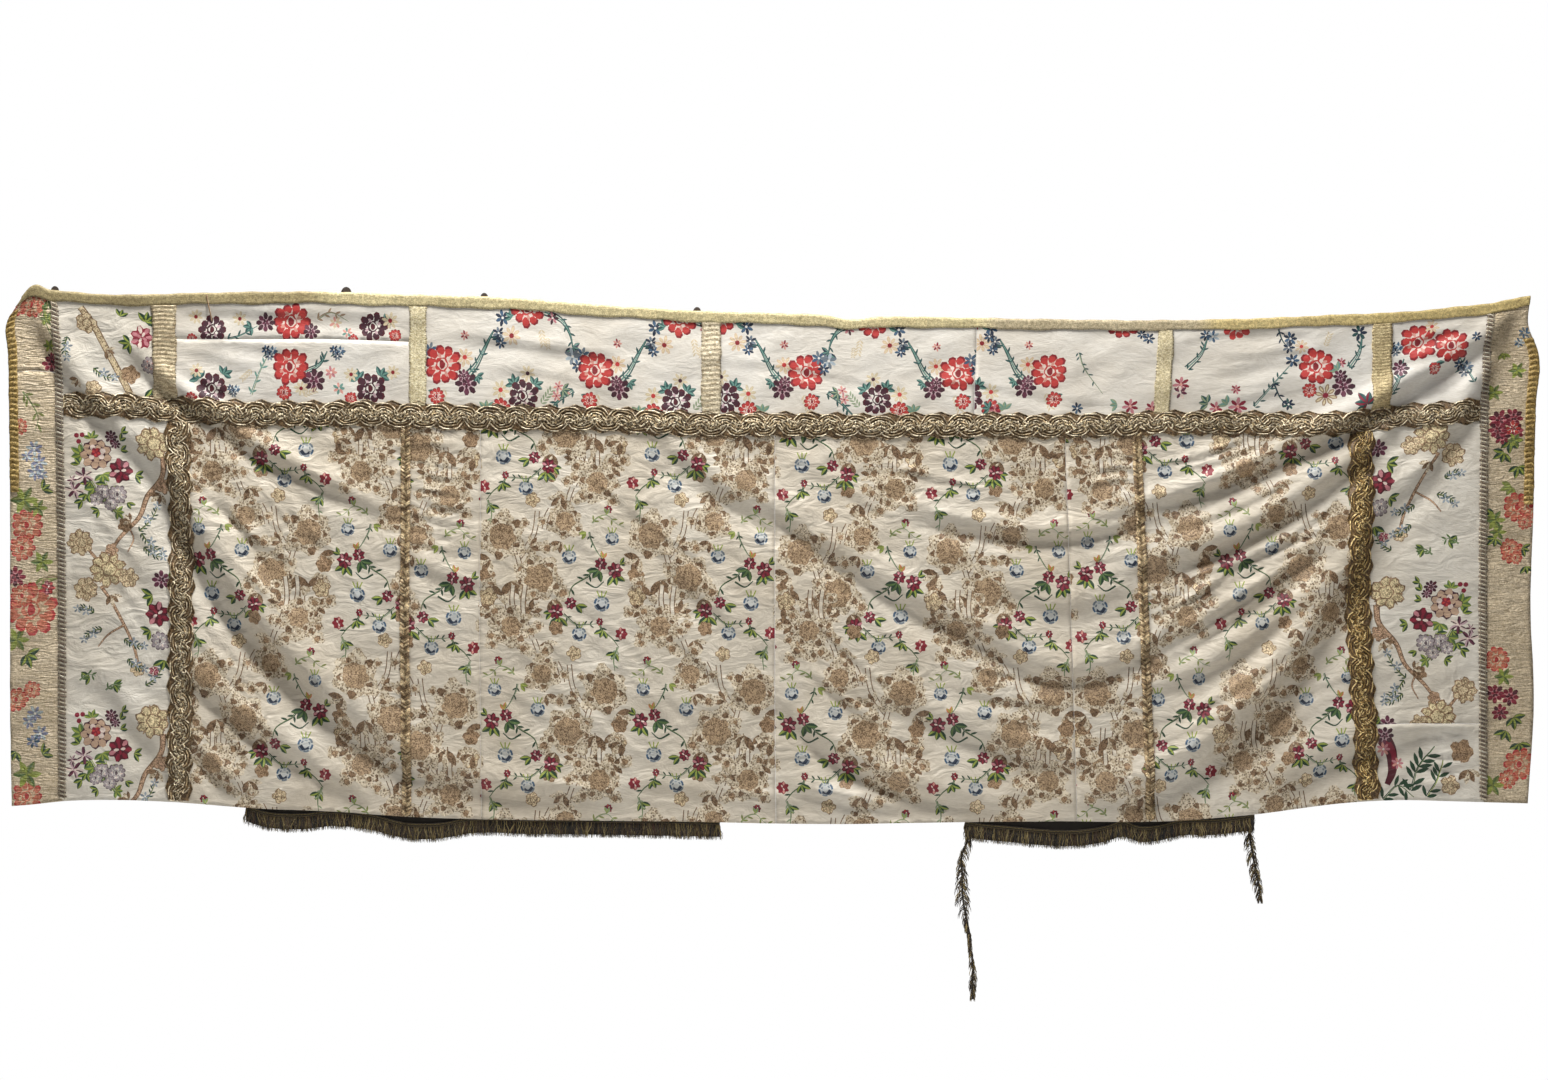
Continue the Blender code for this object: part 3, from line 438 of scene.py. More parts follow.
def petals(x, y, count, inner, outer, width, colours, weave=SILK, turn=0.0):
    """A ring of petals whose colours take turns."""
    shapes = []
    for k in range(count):
        tip = outer * (1 + 0.07 * math.sin(2.3 * k + x))
        outline = petal(x, y, turn + 2 * math.pi * k / count, inner, tip, width)
        shapes.append((outline, colours[k % len(colours)], weave))
    return shapes


def leaf(x, y, angle, length, width, colours=("green_deep", "lime"), weave=SILK):
    """A leaf that grows from (x, y), with its upper half in a second colour."""
    rise = [(0.0, 0.0), (0.3, 0.8), (0.6, 0.95), (0.85, 0.5), (1.0, 0.0)]
    upper = [(length * a, -width / 2 * w) for a, w in rise]
    lower = [(length * a, width / 2 * w) for a, w in rise[1:-1]]
    whole = turned(upper + lower[::-1], angle, x, y)
    half = turned([(a, w * 0.78) for a, w in upper], angle, x, y)
    return [(whole, colours[0], weave), (half, colours[1], weave)]


def smooth_line(points, steps=5):
    """Points of a rounded line through the given ones."""
    points = [np.array(p, float) for p in points]
    padded = [2 * points[0] - points[1], *points, 2 * points[-1] - points[-2]]
    line = []
    for a, b, c, d in zip(padded, padded[1:], padded[2:], padded[3:]):
        for k in range(steps):
            t = k / steps
            bend = (2 * a - 5 * b + 4 * c - d) * t**2 + (3 * b - a - 3 * c + d) * t**3
            line.append(0.5 * (2 * b + (c - a) * t + bend))
    return [*line, points[-1]]


def stem(points, width, colour, weave=SILK, tip=1.0, steps=5):
    """A line as wide as given at its start, and tip times that at its end."""
    line = smooth_line(points, steps)
    ahead = [b - a for a, b in zip(line, line[1:])] + [line[-1] - line[-2]]
    sizes = np.linspace(1, tip, len(line)) * width / 2
    sides = [np.array([-d[1], d[0]]) / max(np.hypot(*d), 1e-6) * s for d, s in zip(ahead, sizes)]
    left = [tuple(p + s) for p, s in zip(line, sides)]
    right = [tuple(p - s) for p, s in zip(line, sides)]
    return [(left + right[::-1], colour, weave)]


def arc(x, y, radius, start, end, width, colour):
    points = [(x + radius * math.cos(a), y + radius * math.sin(a)) for a in np.linspace(start, end, 3)]
    return stem(points, width, colour, steps=1)


def peony(x, y, r, main="coral", deep="coral_deep", pale="coral_pale", heart="blush", turn=0.0):
    """A round many-petalled flower: separate petals, a pale ring and a rolled heart."""
    shapes = [(lobed(x, y, r * 0.86, 9, 0.22, turn, 1.08), heart, SILK)]
    shapes += petals(x, y, 10, r * 0.66, r * 1.08, r * 0.52, (deep,), turn=turn)
    shapes += petals(x, y, 10, r * 0.52, r * 0.95, r * 0.50, (main,), turn=turn + 0.07)
    shapes += petals(x, y, 8, r * 0.36, r * 0.66, r * 0.20, (main, pale), turn=turn + 0.3)
    shapes.append((lobed(x - r * 0.06, y, r * 0.42, 5, 0.16, turn), main, SILK))
    shapes.append((lobed(x - r * 0.02, y, r * 0.31, 4, 0.20, turn), heart, SILK))
    return shapes + [(lobed(x - r * 0.04, y, r * 0.19, 3, 0.15, turn, 1.4), deep, SILK)]


def small_rose(x, y, r, main="crimson", deep="crimson_deep", pale="rose", turn=0.0):
    shapes = [(lobed(x, y, r, 7, 0.24, turn, 1.08), deep, SILK)]
    shapes += petals(x, y, 7, r * 0.40, r * 1.0, r * 0.38, (main, main, pale), turn=turn)
    return shapes + petals(x, y, 4, r * 0.08, r * 0.48, r * 0.26, (main, "blush"), turn=turn + 0.5)


def carnation(x, y, r, colours=("plum", "plum_mid", "mauve"), turn=0.0):
    """A round head of short dark petals over a pale ground."""
    shapes = [(lobed(x, y, r * 0.80, 7, 0.25, turn), colours[2], SILK)]
    shapes += petals(x, y, 8, r * 0.42, r * 1.04, r * 0.52, (colours[0], colours[0], colours[1]), turn=turn)
    shapes += petals(x, y, 5, r * 0.05, r * 0.42, r * 0.28, (colours[1], colours[0]), turn=turn + 0.4)
    return shapes


def blue_rose(x, y, r):
    """A pale rose of curled petals over two green leaves."""
    shapes = [(lobed(x, y, r, 6, 0.24), "blue_white", SILK)]
    for k in range(6):
        start = math.pi * k / 3
        shapes += arc(x, y, r * 0.86, start, start + 0.78, r * 0.26, "blue_grey" if k % 3 else "blue")
        shapes += arc(
            x, y, r * 0.52, start + 0.4, start + 1.0, r * 0.20, "blue_grey" if k % 2 else "blue_dull"
        )
    shapes += arc(x - r * 0.05, y + r * 0.12, r * 0.56, 0.5, 3.2, r * 0.40, "navy")
    for k in (-1, 0, 1):
        shapes += stem([(x + k * r * 0.25, y - r * 0.8), (x + k * r * 0.62, y - r * 1.6)], r * 0.16, "lime")
    return shapes


def star(x, y, r, colours=("navy", "blue"), turn=0.0, count=7, heart="white"):
    shapes = petals(x, y, count, r * 0.16, r, r * 0.46, colours, turn=turn)
    return shapes + [(blob(x, y, r * 0.18), heart, SILK)]


def daisy(x, y, r, colour="tan_pale", heart="coral_deep"):
    shapes = petals(x, y, 8, r * 0.26, r, r * 0.40, (colour,), turn=0.2)
    shapes += petals(x, y, 8, r * 0.45, r * 0.88, r * 0.16, ("straw",), turn=0.2)
    return shapes + [(blob(x, y, r * 0.28), heart, SILK)]


def blue_cluster(x, y, r):
    """Three blue stars over a ring of dark leaves."""
    shapes = []
    for k in range(5):
        shapes += leaf(x, y, k * 1.3, r * 1.35, r * 0.30, ("teal_deep", "navy"))[:1]
    for k, (dx, dy) in enumerate(((-0.55, -0.45), (0.6, -0.30), (0.05, 0.60))):
        colours = (("navy", "blue"), ("blue", "blue_pale"), ("blue_grey", "navy"))[k]
        shapes += star(x + dx * r, y + dy * r, r * 0.78, colours, k)
    return shapes


def leaf_spray(x, y, angle, count, length, colours=("green_deep", "lime")):
    shapes = []
    for k in range(count):
        turn = angle + (k - (count - 1) / 2) * 0.80
        shapes += leaf(x, y, turn, length * (1 - 0.14 * (k % 2)), length * 0.46, colours)
    return shapes


def leafy_stem(points, width, colours=("teal_deep", "teal"), leaves=6, size=5.0, tip=0.45):
    """Two or three strands that draw together to a tip, with small leaves in pairs."""
    line = smooth_line(points, 4)
    (ax, ay), (bx, by) = points[0], points[1]
    reach = max(math.hypot(bx - ax, by - ay), 1e-6)
    across = -(by - ay) / reach, (bx - ax) / reach
    shapes = []
    strands = (-0.5, 0, 0.5) if width > 3 else (-0.25, 0.25)
    for number, share in enumerate(strands):
        spread = [share * width * (1.15 - 1.0 * k / (len(points) - 1)) for k in range(len(points))]
        places = [(x + across[0] * w, y + across[1] * w) for (x, y), w in zip(points, spread)]
        shapes += stem(places, max(1.0, width * 0.34), colours[number == 1], tip=max(tip, 0.5), steps=4)
    for k in range(leaves):
        i = int((k + 0.6) * (len(line) - 2) / leaves)
        dx, dy = line[i + 1] - line[i]
        turn = math.atan2(dy, dx) + (0.8 if k % 2 else -0.8)
        shapes += leaf(*line[i], turn, size * 1.1, size * 0.34, colours)[:1]
        if k % 3 == 0:
            shapes += leaf(*line[i], turn - (1.6 if k % 2 else -1.6), size, size * 0.34, colours)[:1]
    return shapes


def plume(x, y, angle, length, colour="tan_pale"):
    """A faint feathery spray of short strokes."""
    shapes = []
    for k in range(5):
        along = length * (0.15 + 0.18 * k)
        place = x + along * math.cos(angle), y + along * math.sin(angle)
        for side in (-0.7, 0.7):
            shapes += leaf(*place, angle + side, length * 0.30, length * 0.10, (colour, colour))[:1]
    return shapes


def tan_lobe(x, y, r, turn):
    """A scalloped clump of dotted silk with a patch of lame in it."""
    clump = (lobed(x, y, r, 4, 0.26, turn, 0.9), "dots", DOTS)
    return [clump, (lobed(x + r * 0.12, y + r * 0.1, r * 0.48, 3, 0.20, turn + 1), "tan", LAME)]


def tan_bloom(x, y, r, heart, turn=0.0):
    """A large worn rose: dotted petals round a heart of lame."""
    shapes = []
    for k in range(6):
        angle = turn + math.pi * k / 3
        reach = r * (0.64 + 0.08 * math.sin(k * 2.4 + x))
        place = x + reach * math.cos(angle), y + reach * math.sin(angle)
        shapes.append((lobed(*place, r * (0.38 + 0.06 * (k % 2)), 4, 0.24, angle), "dots", DOTS))
    for k in range(5):
        angle = turn + 0.5 + 2 * math.pi * k / 5
        reach = r * (0.70 + 0.10 * math.sin(k * 3.1 + y))
        place = x + reach * math.cos(angle), y + reach * math.sin(angle)
        shapes.append((lobed(*place, r * (0.15 + 0.05 * (k % 2)), 3, 0.25, angle), "tan_deep", LAME))
    shapes.append((lobed(x, y, heart * 1.28, 7, 0.20, turn), "dots", DOTS))
    return shapes + [(lobed(x, y, heart * 1.08, 7, 0.14, turn), "gold", LAME)]


def tan_flower(x, y, r, colour="tan", turn=0.0, count=5):
    """A small flower of round lobes with a thin dark outline."""
    shapes = [(lobed(x, y, r, count, 0.24, turn), "tan", LAME)]
    shapes.append((lobed(x, y, r * 0.90, count, 0.24, turn), colour, LAME))
    shapes += petals(x, y, count, r * 0.42, r * 0.86, r * 0.12, ("tan",), LAME, turn + 0.4)
    shapes.append((lobed(x + r * 0.08, y, r * 0.46, 5, 0.2, turn), "tan", LAME))
    return [*shapes, (lobed(x + r * 0.08, y, r * 0.37, 5, 0.2, turn), colour, LAME)]


def tan_fan(x, y, angle, r):
    """A fan of broad tan leaves."""
    shapes = []
    for k in range(4):
        turn = angle + (k - 1.5) * 0.60
        outer = leaf(x, y, turn, r * (1.0 - 0.08 * (k % 2)), r * 0.42, ("tan_deep", "tan"), LAME)
        shapes += outer[:1] if k % 2 else [(outer[0][0], "dots", DOTS)]
    return shapes


def tan_scroll(points):
    """A pair of thin tan lines with cream between them, and a dotted clump beside them."""
    width = 5.4
    shapes = stem(points, width, "tan_deep", LAME, steps=3) + stem(points, width * 0.62, "field", steps=3)
    x, y = points[len(points) // 2]
    return shapes + [(lobed(x + width * 1.4, y, width * 1.1, 3, 0.3, x), "dots", DOTS)]


def acanthus(x, y, r):
    shapes = [(lobed(x, y, r * 0.66, 5, 0.45), "olive", SILK)]
    for k in range(6):
        shapes += leaf(x, y, k * 1.05, r, r * 0.46, ("olive", "green") if k % 2 else ("lime", "lime"))
    return shapes


def blue_sprig(x, y, angle, length):
    """A thin green stem with dark leaves and small pale-blue flowers."""
    dx, dy = math.cos(angle), math.sin(angle)
    points = [(x + dx * length * t - dy * 3 * math.sin(3 * t), y + dy * length * t + dx * 3 * math.sin(3 * t))
              for t in (0, 0.5, 1.0)]
    shapes = leafy_stem(points, 1.3, ("green_deep", "olive"), 9, 5.0, 0.6)
    for t, r in ((0.45, 4.6), (0.95, 4.0)):
        shapes += star(
            x + dx * length * t, y + dy * length * t, r * 1.15, ("blue_dull", "blue_grey"), t * 5, 5
        )
    return shapes


def field_motif():
    """Half a repeat of the field silk; the other half is its mirror image lower down."""
    shapes = []
    for points in (
        [(-9, -92), (-7, -74), (-9, -58), (-16, -40)],
        [(3, -92), (4, -78), (2, -66)],
        [(-18, -38), (-22, -26), (-20, -14)],
        [(-53, -14), (-56, 8), (-66, 26), (-72, 34)],
        [(-74, 26), (-70, 40), (-66, 48)],
        [(-82, 68), (-82, 84)],
        [(-64, 64), (-68, 88)],
        [(-40, -16), (-44, -8), (-46, 4)],
    ):
        shapes += tan_scroll(points)
    for x, y, angle, r in ((-79, 56, 1.2, 20), (-38, 74, 0.9, 15), (44, 66, 0.6, 16), (-100, 34, 2.4, 17),
                           (-60, 22, 5.6, 13), (-14, -66, 3.6, 14), (24, -92, 1.4, 16), (-30, 16, 1.9, 13),
                           (-46, 116, 1.0, 15), (-96, 84, 2.6, 15)):
        shapes += tan_fan(x, y, angle, r)
    for x, y, r in ((-16, -48, 7), (-18, -84, 7), (-66, -2, 6), (-48, -4, 6), (24, -42, 7), (-52, 100, 7),
                    (-70, 44, 8), (40, 84, 8), (-32, -16, 6), (-104, 8, 7), (-8, -30, 8), (-28, 66, 9),
                    (-100, 60, 9), (-44, 22, 8), (-62, 84, 8), (20, -66, 8), (-30, -28, 8), (-98, 118, 8)):
        shapes += tan_lobe(x, y, r, x)
    for x, y, r, heart in ((-88, 12, 25, 13), (-51, 53, 25, 14), (-82, 101, 21, 10.5), (-25, -4, 19, 9.5),
                           (5, -51, 20, 10)):
        shapes += tan_bloom(x, y, r, heart, turn=x * 0.1)
    for x, y, r, colour in ((-58, -25, 8, "tan_pale"), (28, -80, 10, "tan_pale"), (46, 48, 9, "tan"),
                            (-40, -50, 8, "tan")):
        shapes += tan_flower(x, y, r, colour, turn=y * 0.1)
    shapes += leafy_stem([(2, -3), (8, -9), (17, -11), (26, -3), (34, 0)], 1.4, ("olive", "sage"), 5, 6)
    shapes += small_rose(18, -17, 4.2, "crimson", "crimson_deep", "coral")
    shapes += leafy_stem([(-1, 6), (1, 14), (8, 27), (14, 34)], 2.0, ("green_deep", "sage"), 3, 5, 0.5)
    shapes += leaf_spray(-4, 6, 2.5, 2, 9, ("olive", "lime"))
    shapes += leaf_spray(17, -12, -1.6, 2, 7, ("sage", "lime"))
    shapes += blue_rose(22, 12, 7.0)
    shapes += blue_rose(-21, 31, 7.5)
    shapes += leafy_stem([(1, 46), (-3, 51), (-17, 60), (-21, 71)], 2.4, ("green_deep", "green"), 3, 7)
    shapes += leaf_spray(30, 38, -0.7, 2, 9)
    shapes += leaf_spray(24, 48, 1.3, 3, 13)
    shapes += leaf_spray(9, 43, 2.2, 3, 13, ("green_deep", "green"))
    shapes += leaf_spray(13, 32, -1.4, 2, 8, ("orange", "lime"))
    shapes += stem([(-4, 56), (6, 61), (14, 55)], 2.0, "green_deep", tip=0.5)
    shapes += small_rose(11, 37.5, 6.4)
    shapes += small_rose(25, 43.5, 7.8, turn=0.8)
    shapes += blue_rose(12, 77, 8.0)
    shapes += blue_rose(-10.5, 107.5, 7.5)
    shapes += leaf_spray(-38, 86, 2.6, 2, 10)
    shapes += leaf_spray(-31, 91, 1.6, 3, 13)
    shapes += leaf_spray(-14, 79, 0.5, 2, 12)
    shapes += leafy_stem([(-26, 88), (-14, 98), (-3, 98), (9, 97)], 2.4, ("green_deep", "sage"), 4, 5)
    shapes += small_rose(-19, 77, 6.0, turn=0.5)
    shapes += small_rose(-33.5, 85.5, 7.4, turn=1.4)
    shapes += leafy_stem([(10, 98), (13, 104), (22, 111), (29, 120)], 2.2, ("green_deep", "green"), 3, 6)
    shapes += leaf_spray(13, 103, 1.9, 3, 10)
    shapes += small_rose(10, 95, 3.8, "crimson", "crimson_deep", "coral")
    shapes += small_rose(31.6, 106.5, 6.2, "coral_deep", "crimson", "coral_pale")
    shapes += leaf_spray(25, 125, 2.0, 3, 10, ("green_deep", "lime"))
    shapes += leafy_stem([(28, 120), (24, 132), (25, 144)], 2.0, ("sage", "green"), 3, 5, 0.4)
    return shapes


def frontlet_motif():
    """One repeat of the frontlet silk, from its large red flower."""
    shapes = []
    shapes += leafy_stem([(26, 8), (34, -1), (43, -18), (51, -32)], 5.0, leaves=6, size=6.5, tip=0.3)
    shapes += leafy_stem([(102, -52), (118, -46), (127, -34), (131, -18)], 4.6, leaves=6, size=6, tip=0.3)
    shapes += leafy_stem([(131, 20), (118, 29), (104, 43)], 3.4, leaves=5, size=7, tip=0.7)
    shapes += leaf_spray(56, -26, 2.4, 4, 7, ("teal_deep", "navy"))
    shapes += leaf_spray(130, -20, 1.0, 5, 9, ("navy", "teal"))
    shapes += star(60, -44, 7.5) + star(56, -30, 6, ("navy", "blue_grey"))
    shapes += star(58, -21, 5.5, ("blue", "navy"))
    shapes += leaf_spray(70, -46, -2.4, 4, 9, ("teal_deep", "teal"))
    shapes += star(130, -12, 8, ("blue_grey", "blue_pale")) + star(140, -14, 7, ("blue", "blue_grey"), 0.5)
    shapes += star(135, -3, 6, ("navy", "blue"))
    shapes += plume(98, -38, 1.4, 18) + plume(3, 20, 1.9, 20) + plume(97, 36, -0.9, 20, "sage")
    shapes += plume(105, -30, 1.5, 12)
    shapes += daisy(22, -7, 8.5, "peach", "coral") + daisy(69, -28, 9.0, "peach", "coral_deep")
    shapes += star(22, -27, 4.5, ("coral_pale", "crimson")) + star(110, -47, 6, ("plum", "rose"))
    shapes += peony(85, -54, 16, turn=0.4)
    shapes += daisy(58, 22, 8.5, "tan_pale", "coral") + daisy(85, 6, 7.5, "tan_pale", "plum")
    shapes += leaf_spray(72, 16, -2.2, 4, 10, ("teal_deep", "teal"))
    shapes += leaf_spray(92, 17, -0.8, 4, 10, ("teal_deep", "teal"))
    shapes += leaf_spray(44, 40, -1.2, 4, 10, ("sage", "teal"))
    shapes += peony(58, 39, 9, turn=1.0) + peony(81, 27, 14, "plum", "crimson_deep", "mauve", "white", 0.2)
    for x, y, r in ((116, 17, 5), (114, 26, 5), (124, 22, 4), (118, 44, 5), (126, 46, 4)):
        shapes += star(x, y, r, ("coral_pale", "rose"), x, 6, "crimson")
    shapes += leaf_spray(120, 20, 0.4, 4, 9, ("teal_deep", "sage"))
    shapes += leaf_spray(34, 10, 0.8, 4, 8, ("teal_deep", "teal"))
    shapes += leaf_spray(-6, 26, 2.6, 3, 9, ("teal_deep", "teal"))
    shapes += peony(0, 0, 17, turn=0.1) + peony(-6, 29, 7.5, turn=1.2)
    shapes += carnation(24, 17, 10.5) + carnation(21, 10, 6, ("plum_mid", "plum", "mauve"))
    return shapes


def orphrey_rose(x, y, r, turn=0.0):
    """A large tan-pink rose, its petals outlined in plum round a red heart."""
    shapes = [(lobed(x, y, r * 1.03, 9, 0.16, turn), "plum", SILK)]
    shapes += petals(x, y, 9, r * 0.40, r * 0.98, r * 0.50, ("tan_pink",), turn=turn)
    shapes.append((lobed(x, y - r * 0.08, r * 0.60, 7, 0.16, turn), "plum", SILK))
    shapes += petals(x, y - r * 0.08, 7, r * 0.20, r * 0.58, r * 0.38, ("blush", "tan_pink"), turn=turn + 0.3)
    shapes.append((lobed(x, y - r * 0.12, r * 0.34, 5, 0.24, turn), "crimson", SILK))
    return shapes + petals(x, y - r * 0.12, 4, r * 0.06, r * 0.28, r * 0.16, ("coral",), turn=turn)


def iris(x, y, r, turn=0.0):
    shapes = petals(x, y, 6, 0.0, r, r * 0.42, ("mauve", "plum_mid", "blush"), turn=turn)
    return shapes + petals(x, y, 6, r * 0.25, r, r * 0.16, ("plum",), turn=turn + 0.15)


def orphrey_bouquet():
    """The bouquet of the orphrey silk, from the middle of its tan-pink rose."""
    shapes = []
    for points in (
        [(8, 28), (14, 46), (22, 60)], [(4, 26), (8, 44), (20, 60)], [(-8, 24), (4, 44), (16, 58)],
    ):
        shapes += stem(points, 1.6, "green") + stem([(x + 2, y) for x, y in points], 0.9, "lime")
    for x, y, angle, count, size in (
        (6, 20, 1.2, 4, 12), (-14, 0, 3.3, 4, 13), (24, -4, -0.4, 2, 9), (38, 20, 0.2, 3, 10),
        (24, -14, -0.9, 2, 9), (-4, -16, -1.7, 4, 9), (-6, 28, 2.2, 3, 11), (20, 58, 0.4, 4, 9),
        (2, 56, 2.6, 3, 9), (-14, 46, 2.4, 2, 11), (16, 32, 1.0, 3, 9), (-16, 10, 3.6, 2, 10),
        (10, 30, 2.4, 3, 11), (-10, 40, 2.0, 3, 10), (30, 48, 0.6, 2, 9), (12, -14, -1.2, 2, 8),
        (26, -22, -0.6, 2, 9), (-2, 34, 1.8, 4, 12),
    ):
        shapes += leaf_spray(
            x, y, angle, count, size, ("green", "lime") if count > 3 else ("green_deep", "lime")
        )
    shapes += orphrey_rose(0, 0, 15.5, 0.3)
    shapes += small_rose(24, 16, 12, "crimson", "crimson_deep", "rose", 0.9)
    shapes += carnation(15, -18, 6.5, ("plum", "crimson_deep", "mauve"))
    shapes += carnation(19, -11, 5, ("plum", "plum_mid", "mauve"))
    shapes += iris(-12, 22, 9, 0.4) + iris(-22, 36, 9, 1.2) + iris(-24, 26, 5, 2.0)
    for x, y, r in ((6, 38, 7.5), (21, 40, 9), (0, 45, 6.5), (14, 50, 6.5)):
        shapes += peony(x, y, r, "mauve_grey", "plum_grey", "blush", "white", x)
    for dx, dy in ((0, 0), (5.5, -0.5), (2, 6)):
        shapes.append((blob(-19 + dx, -19 + dy, 2.6), "crimson", SILK))
    return shapes + stem([(-15, -12), (-12, -6)], 0.9, "sage")


def orphrey_motif():
    """One repeat of the orphrey silk, from the tan-pink rose of its bouquet."""
    shapes = []
    for points, width, tip in (
        ([(68, -2), (66, 18), (50, 40), (42, 62), (24, 82), (14, 96)], 8, 0.5),
        ([(3, 133), (16, 153), (34, 189), (41, 214)], 4.5, 0.8),
        ([(-17, 87), (-4, 102), (8, 117)], 4, 1.0),
        ([(26, 172), (10, 182), (0, 194)], 3, 0.6),
        ([(30, 70), (36, 84), (30, 98)], 3, 0.5),
    ):
        shapes += stem(points, width * 0.8, "tan_deep", LAME, tip)
        shapes += stem(points, width * 0.5, "tan_pink", LAME, tip)
    for x, y, r, colour, lobes in (
        (57, -14, 18, "straw", 8), (-17, 89, 14, "tan_pale", 8), (10, 116, 19, "straw", 9),
        (-12, 136, 13, "tan_pale", 7), (28, 71, 8, "tan_deep", 5), (66, 28, 9, "tan_pink", 6),
        (14, 96, 7, "tan_pink", 5), (40, 216, 8, "tan_pale", 6), (30, 124, 11, "tan_pale", 6),
    ):
        shapes += tan_flower(x, y, r, colour, x * 0.1, lobes)
    shapes += tan_fan(62, 36, 2.0, 13) + tan_fan(34, 66, 3.6, 9) + tan_fan(12, 142, 1.0, 12)
    for x, y, angle, length in (
        (42, 76, -1.0, 34), (44, 78, 0.7, 28), (46, 92, 0.4, 22), (4, 176, 2.6, 22), (26, 186, 0.3, 22),
        (30, 206, 0.5, 20), (-4, 160, 3.4, 18), (48, 232, -0.9, 26),
    ):
        shapes += blue_sprig(x, y, angle, length)
    for x, y, angle, size in ((54, 140, 2.8, 13), (70, 118, 0.2, 12), (66, 205, 1.8, 13), (52, 176, 2.6, 11),
                              (-8, 224, 2.8, 10), (16, 232, 0.3, 10), (72, 150, 0.4, 11)):
        shapes += leaf_spray(x, y, angle, 3, size, ("green_deep", "lime"))
    shapes += carnation(63, 124, 9, ("plum_mid", "plum", "mauve"))
    shapes += small_rose(59, 159, 12, "crimson", "crimson_deep", "rose", 0.4)
    shapes += peony(62, 186, 9, "mauve_grey", "plum_grey", "blush", "white")
    shapes += small_rose(56, 217, 5, "rose", "crimson", "blush")
    for x, y in ((-10, 222), (16, 232)):
        shapes += leafy_stem([(x - 8, y + 6), (x, y), (x + 8, y + 2)], 1.6, ("green", "sage"), 4, 6)
    return shapes + orphrey_bouquet()


def lone(make, *rows):
    """The same motif at several places."""
    return [shape for row in rows for shape in make(*row)]


# The patterns: (panel, places of the motif, mirrored or not)
FIELD_LAYOUT = (
    ("field_a", ((369, 218), (369, 518), (369, 818)), True),
    ("field_a", ((293, 368), (293, 668)), False),
    ("field_b", ((442, 240), (442, 540), (442, 840)), False),
    ("field_b", ((516, 390), (516, 690)), True),
    ("field_c", ((590, 226), (590, 526), (590, 826)), False),
    ("field_c", ((515, 376), (516, 678)), True),
    ("field_d", ((888, 240), (888, 540), (888, 832)), False),
    ("field_d", ((814, 388), (814, 682)), True),
    ("field_e", ((1110, 240), (1110, 530), (1110, 820)), True),
    ("field_e", ((1036, 390), (1036, 680)), False),
    ("field_f", ((1178, 68), (1178, 368), (1178, 668)), False),
    ("field_f", ((1252, 218), (1252, 518), (1252, 812)), True),
)
FRONTLET_LAYOUT = (
    ("frontlet_c", ((289, 362), (442, 364), (595, 370)), False),
    ("frontlet_d", ((653, 371), (806, 372), (958, 373), (1110, 374)), True),
    ("frontlet_e", ((1050, 371),), True),
)
REPEAT_WIDTH = 149


def purple_peony(x, y, r=13):
    return peony(x, y, r, "plum", "crimson_deep", "mauve", "white")


def red_bud(x, y, r=6):
    return peony(x, y, r, turn=1.0)


def pink_star(x, y, r):
    return star(x, y, r, ("crimson", "rose"), 0.3, 7, "coral_pale")


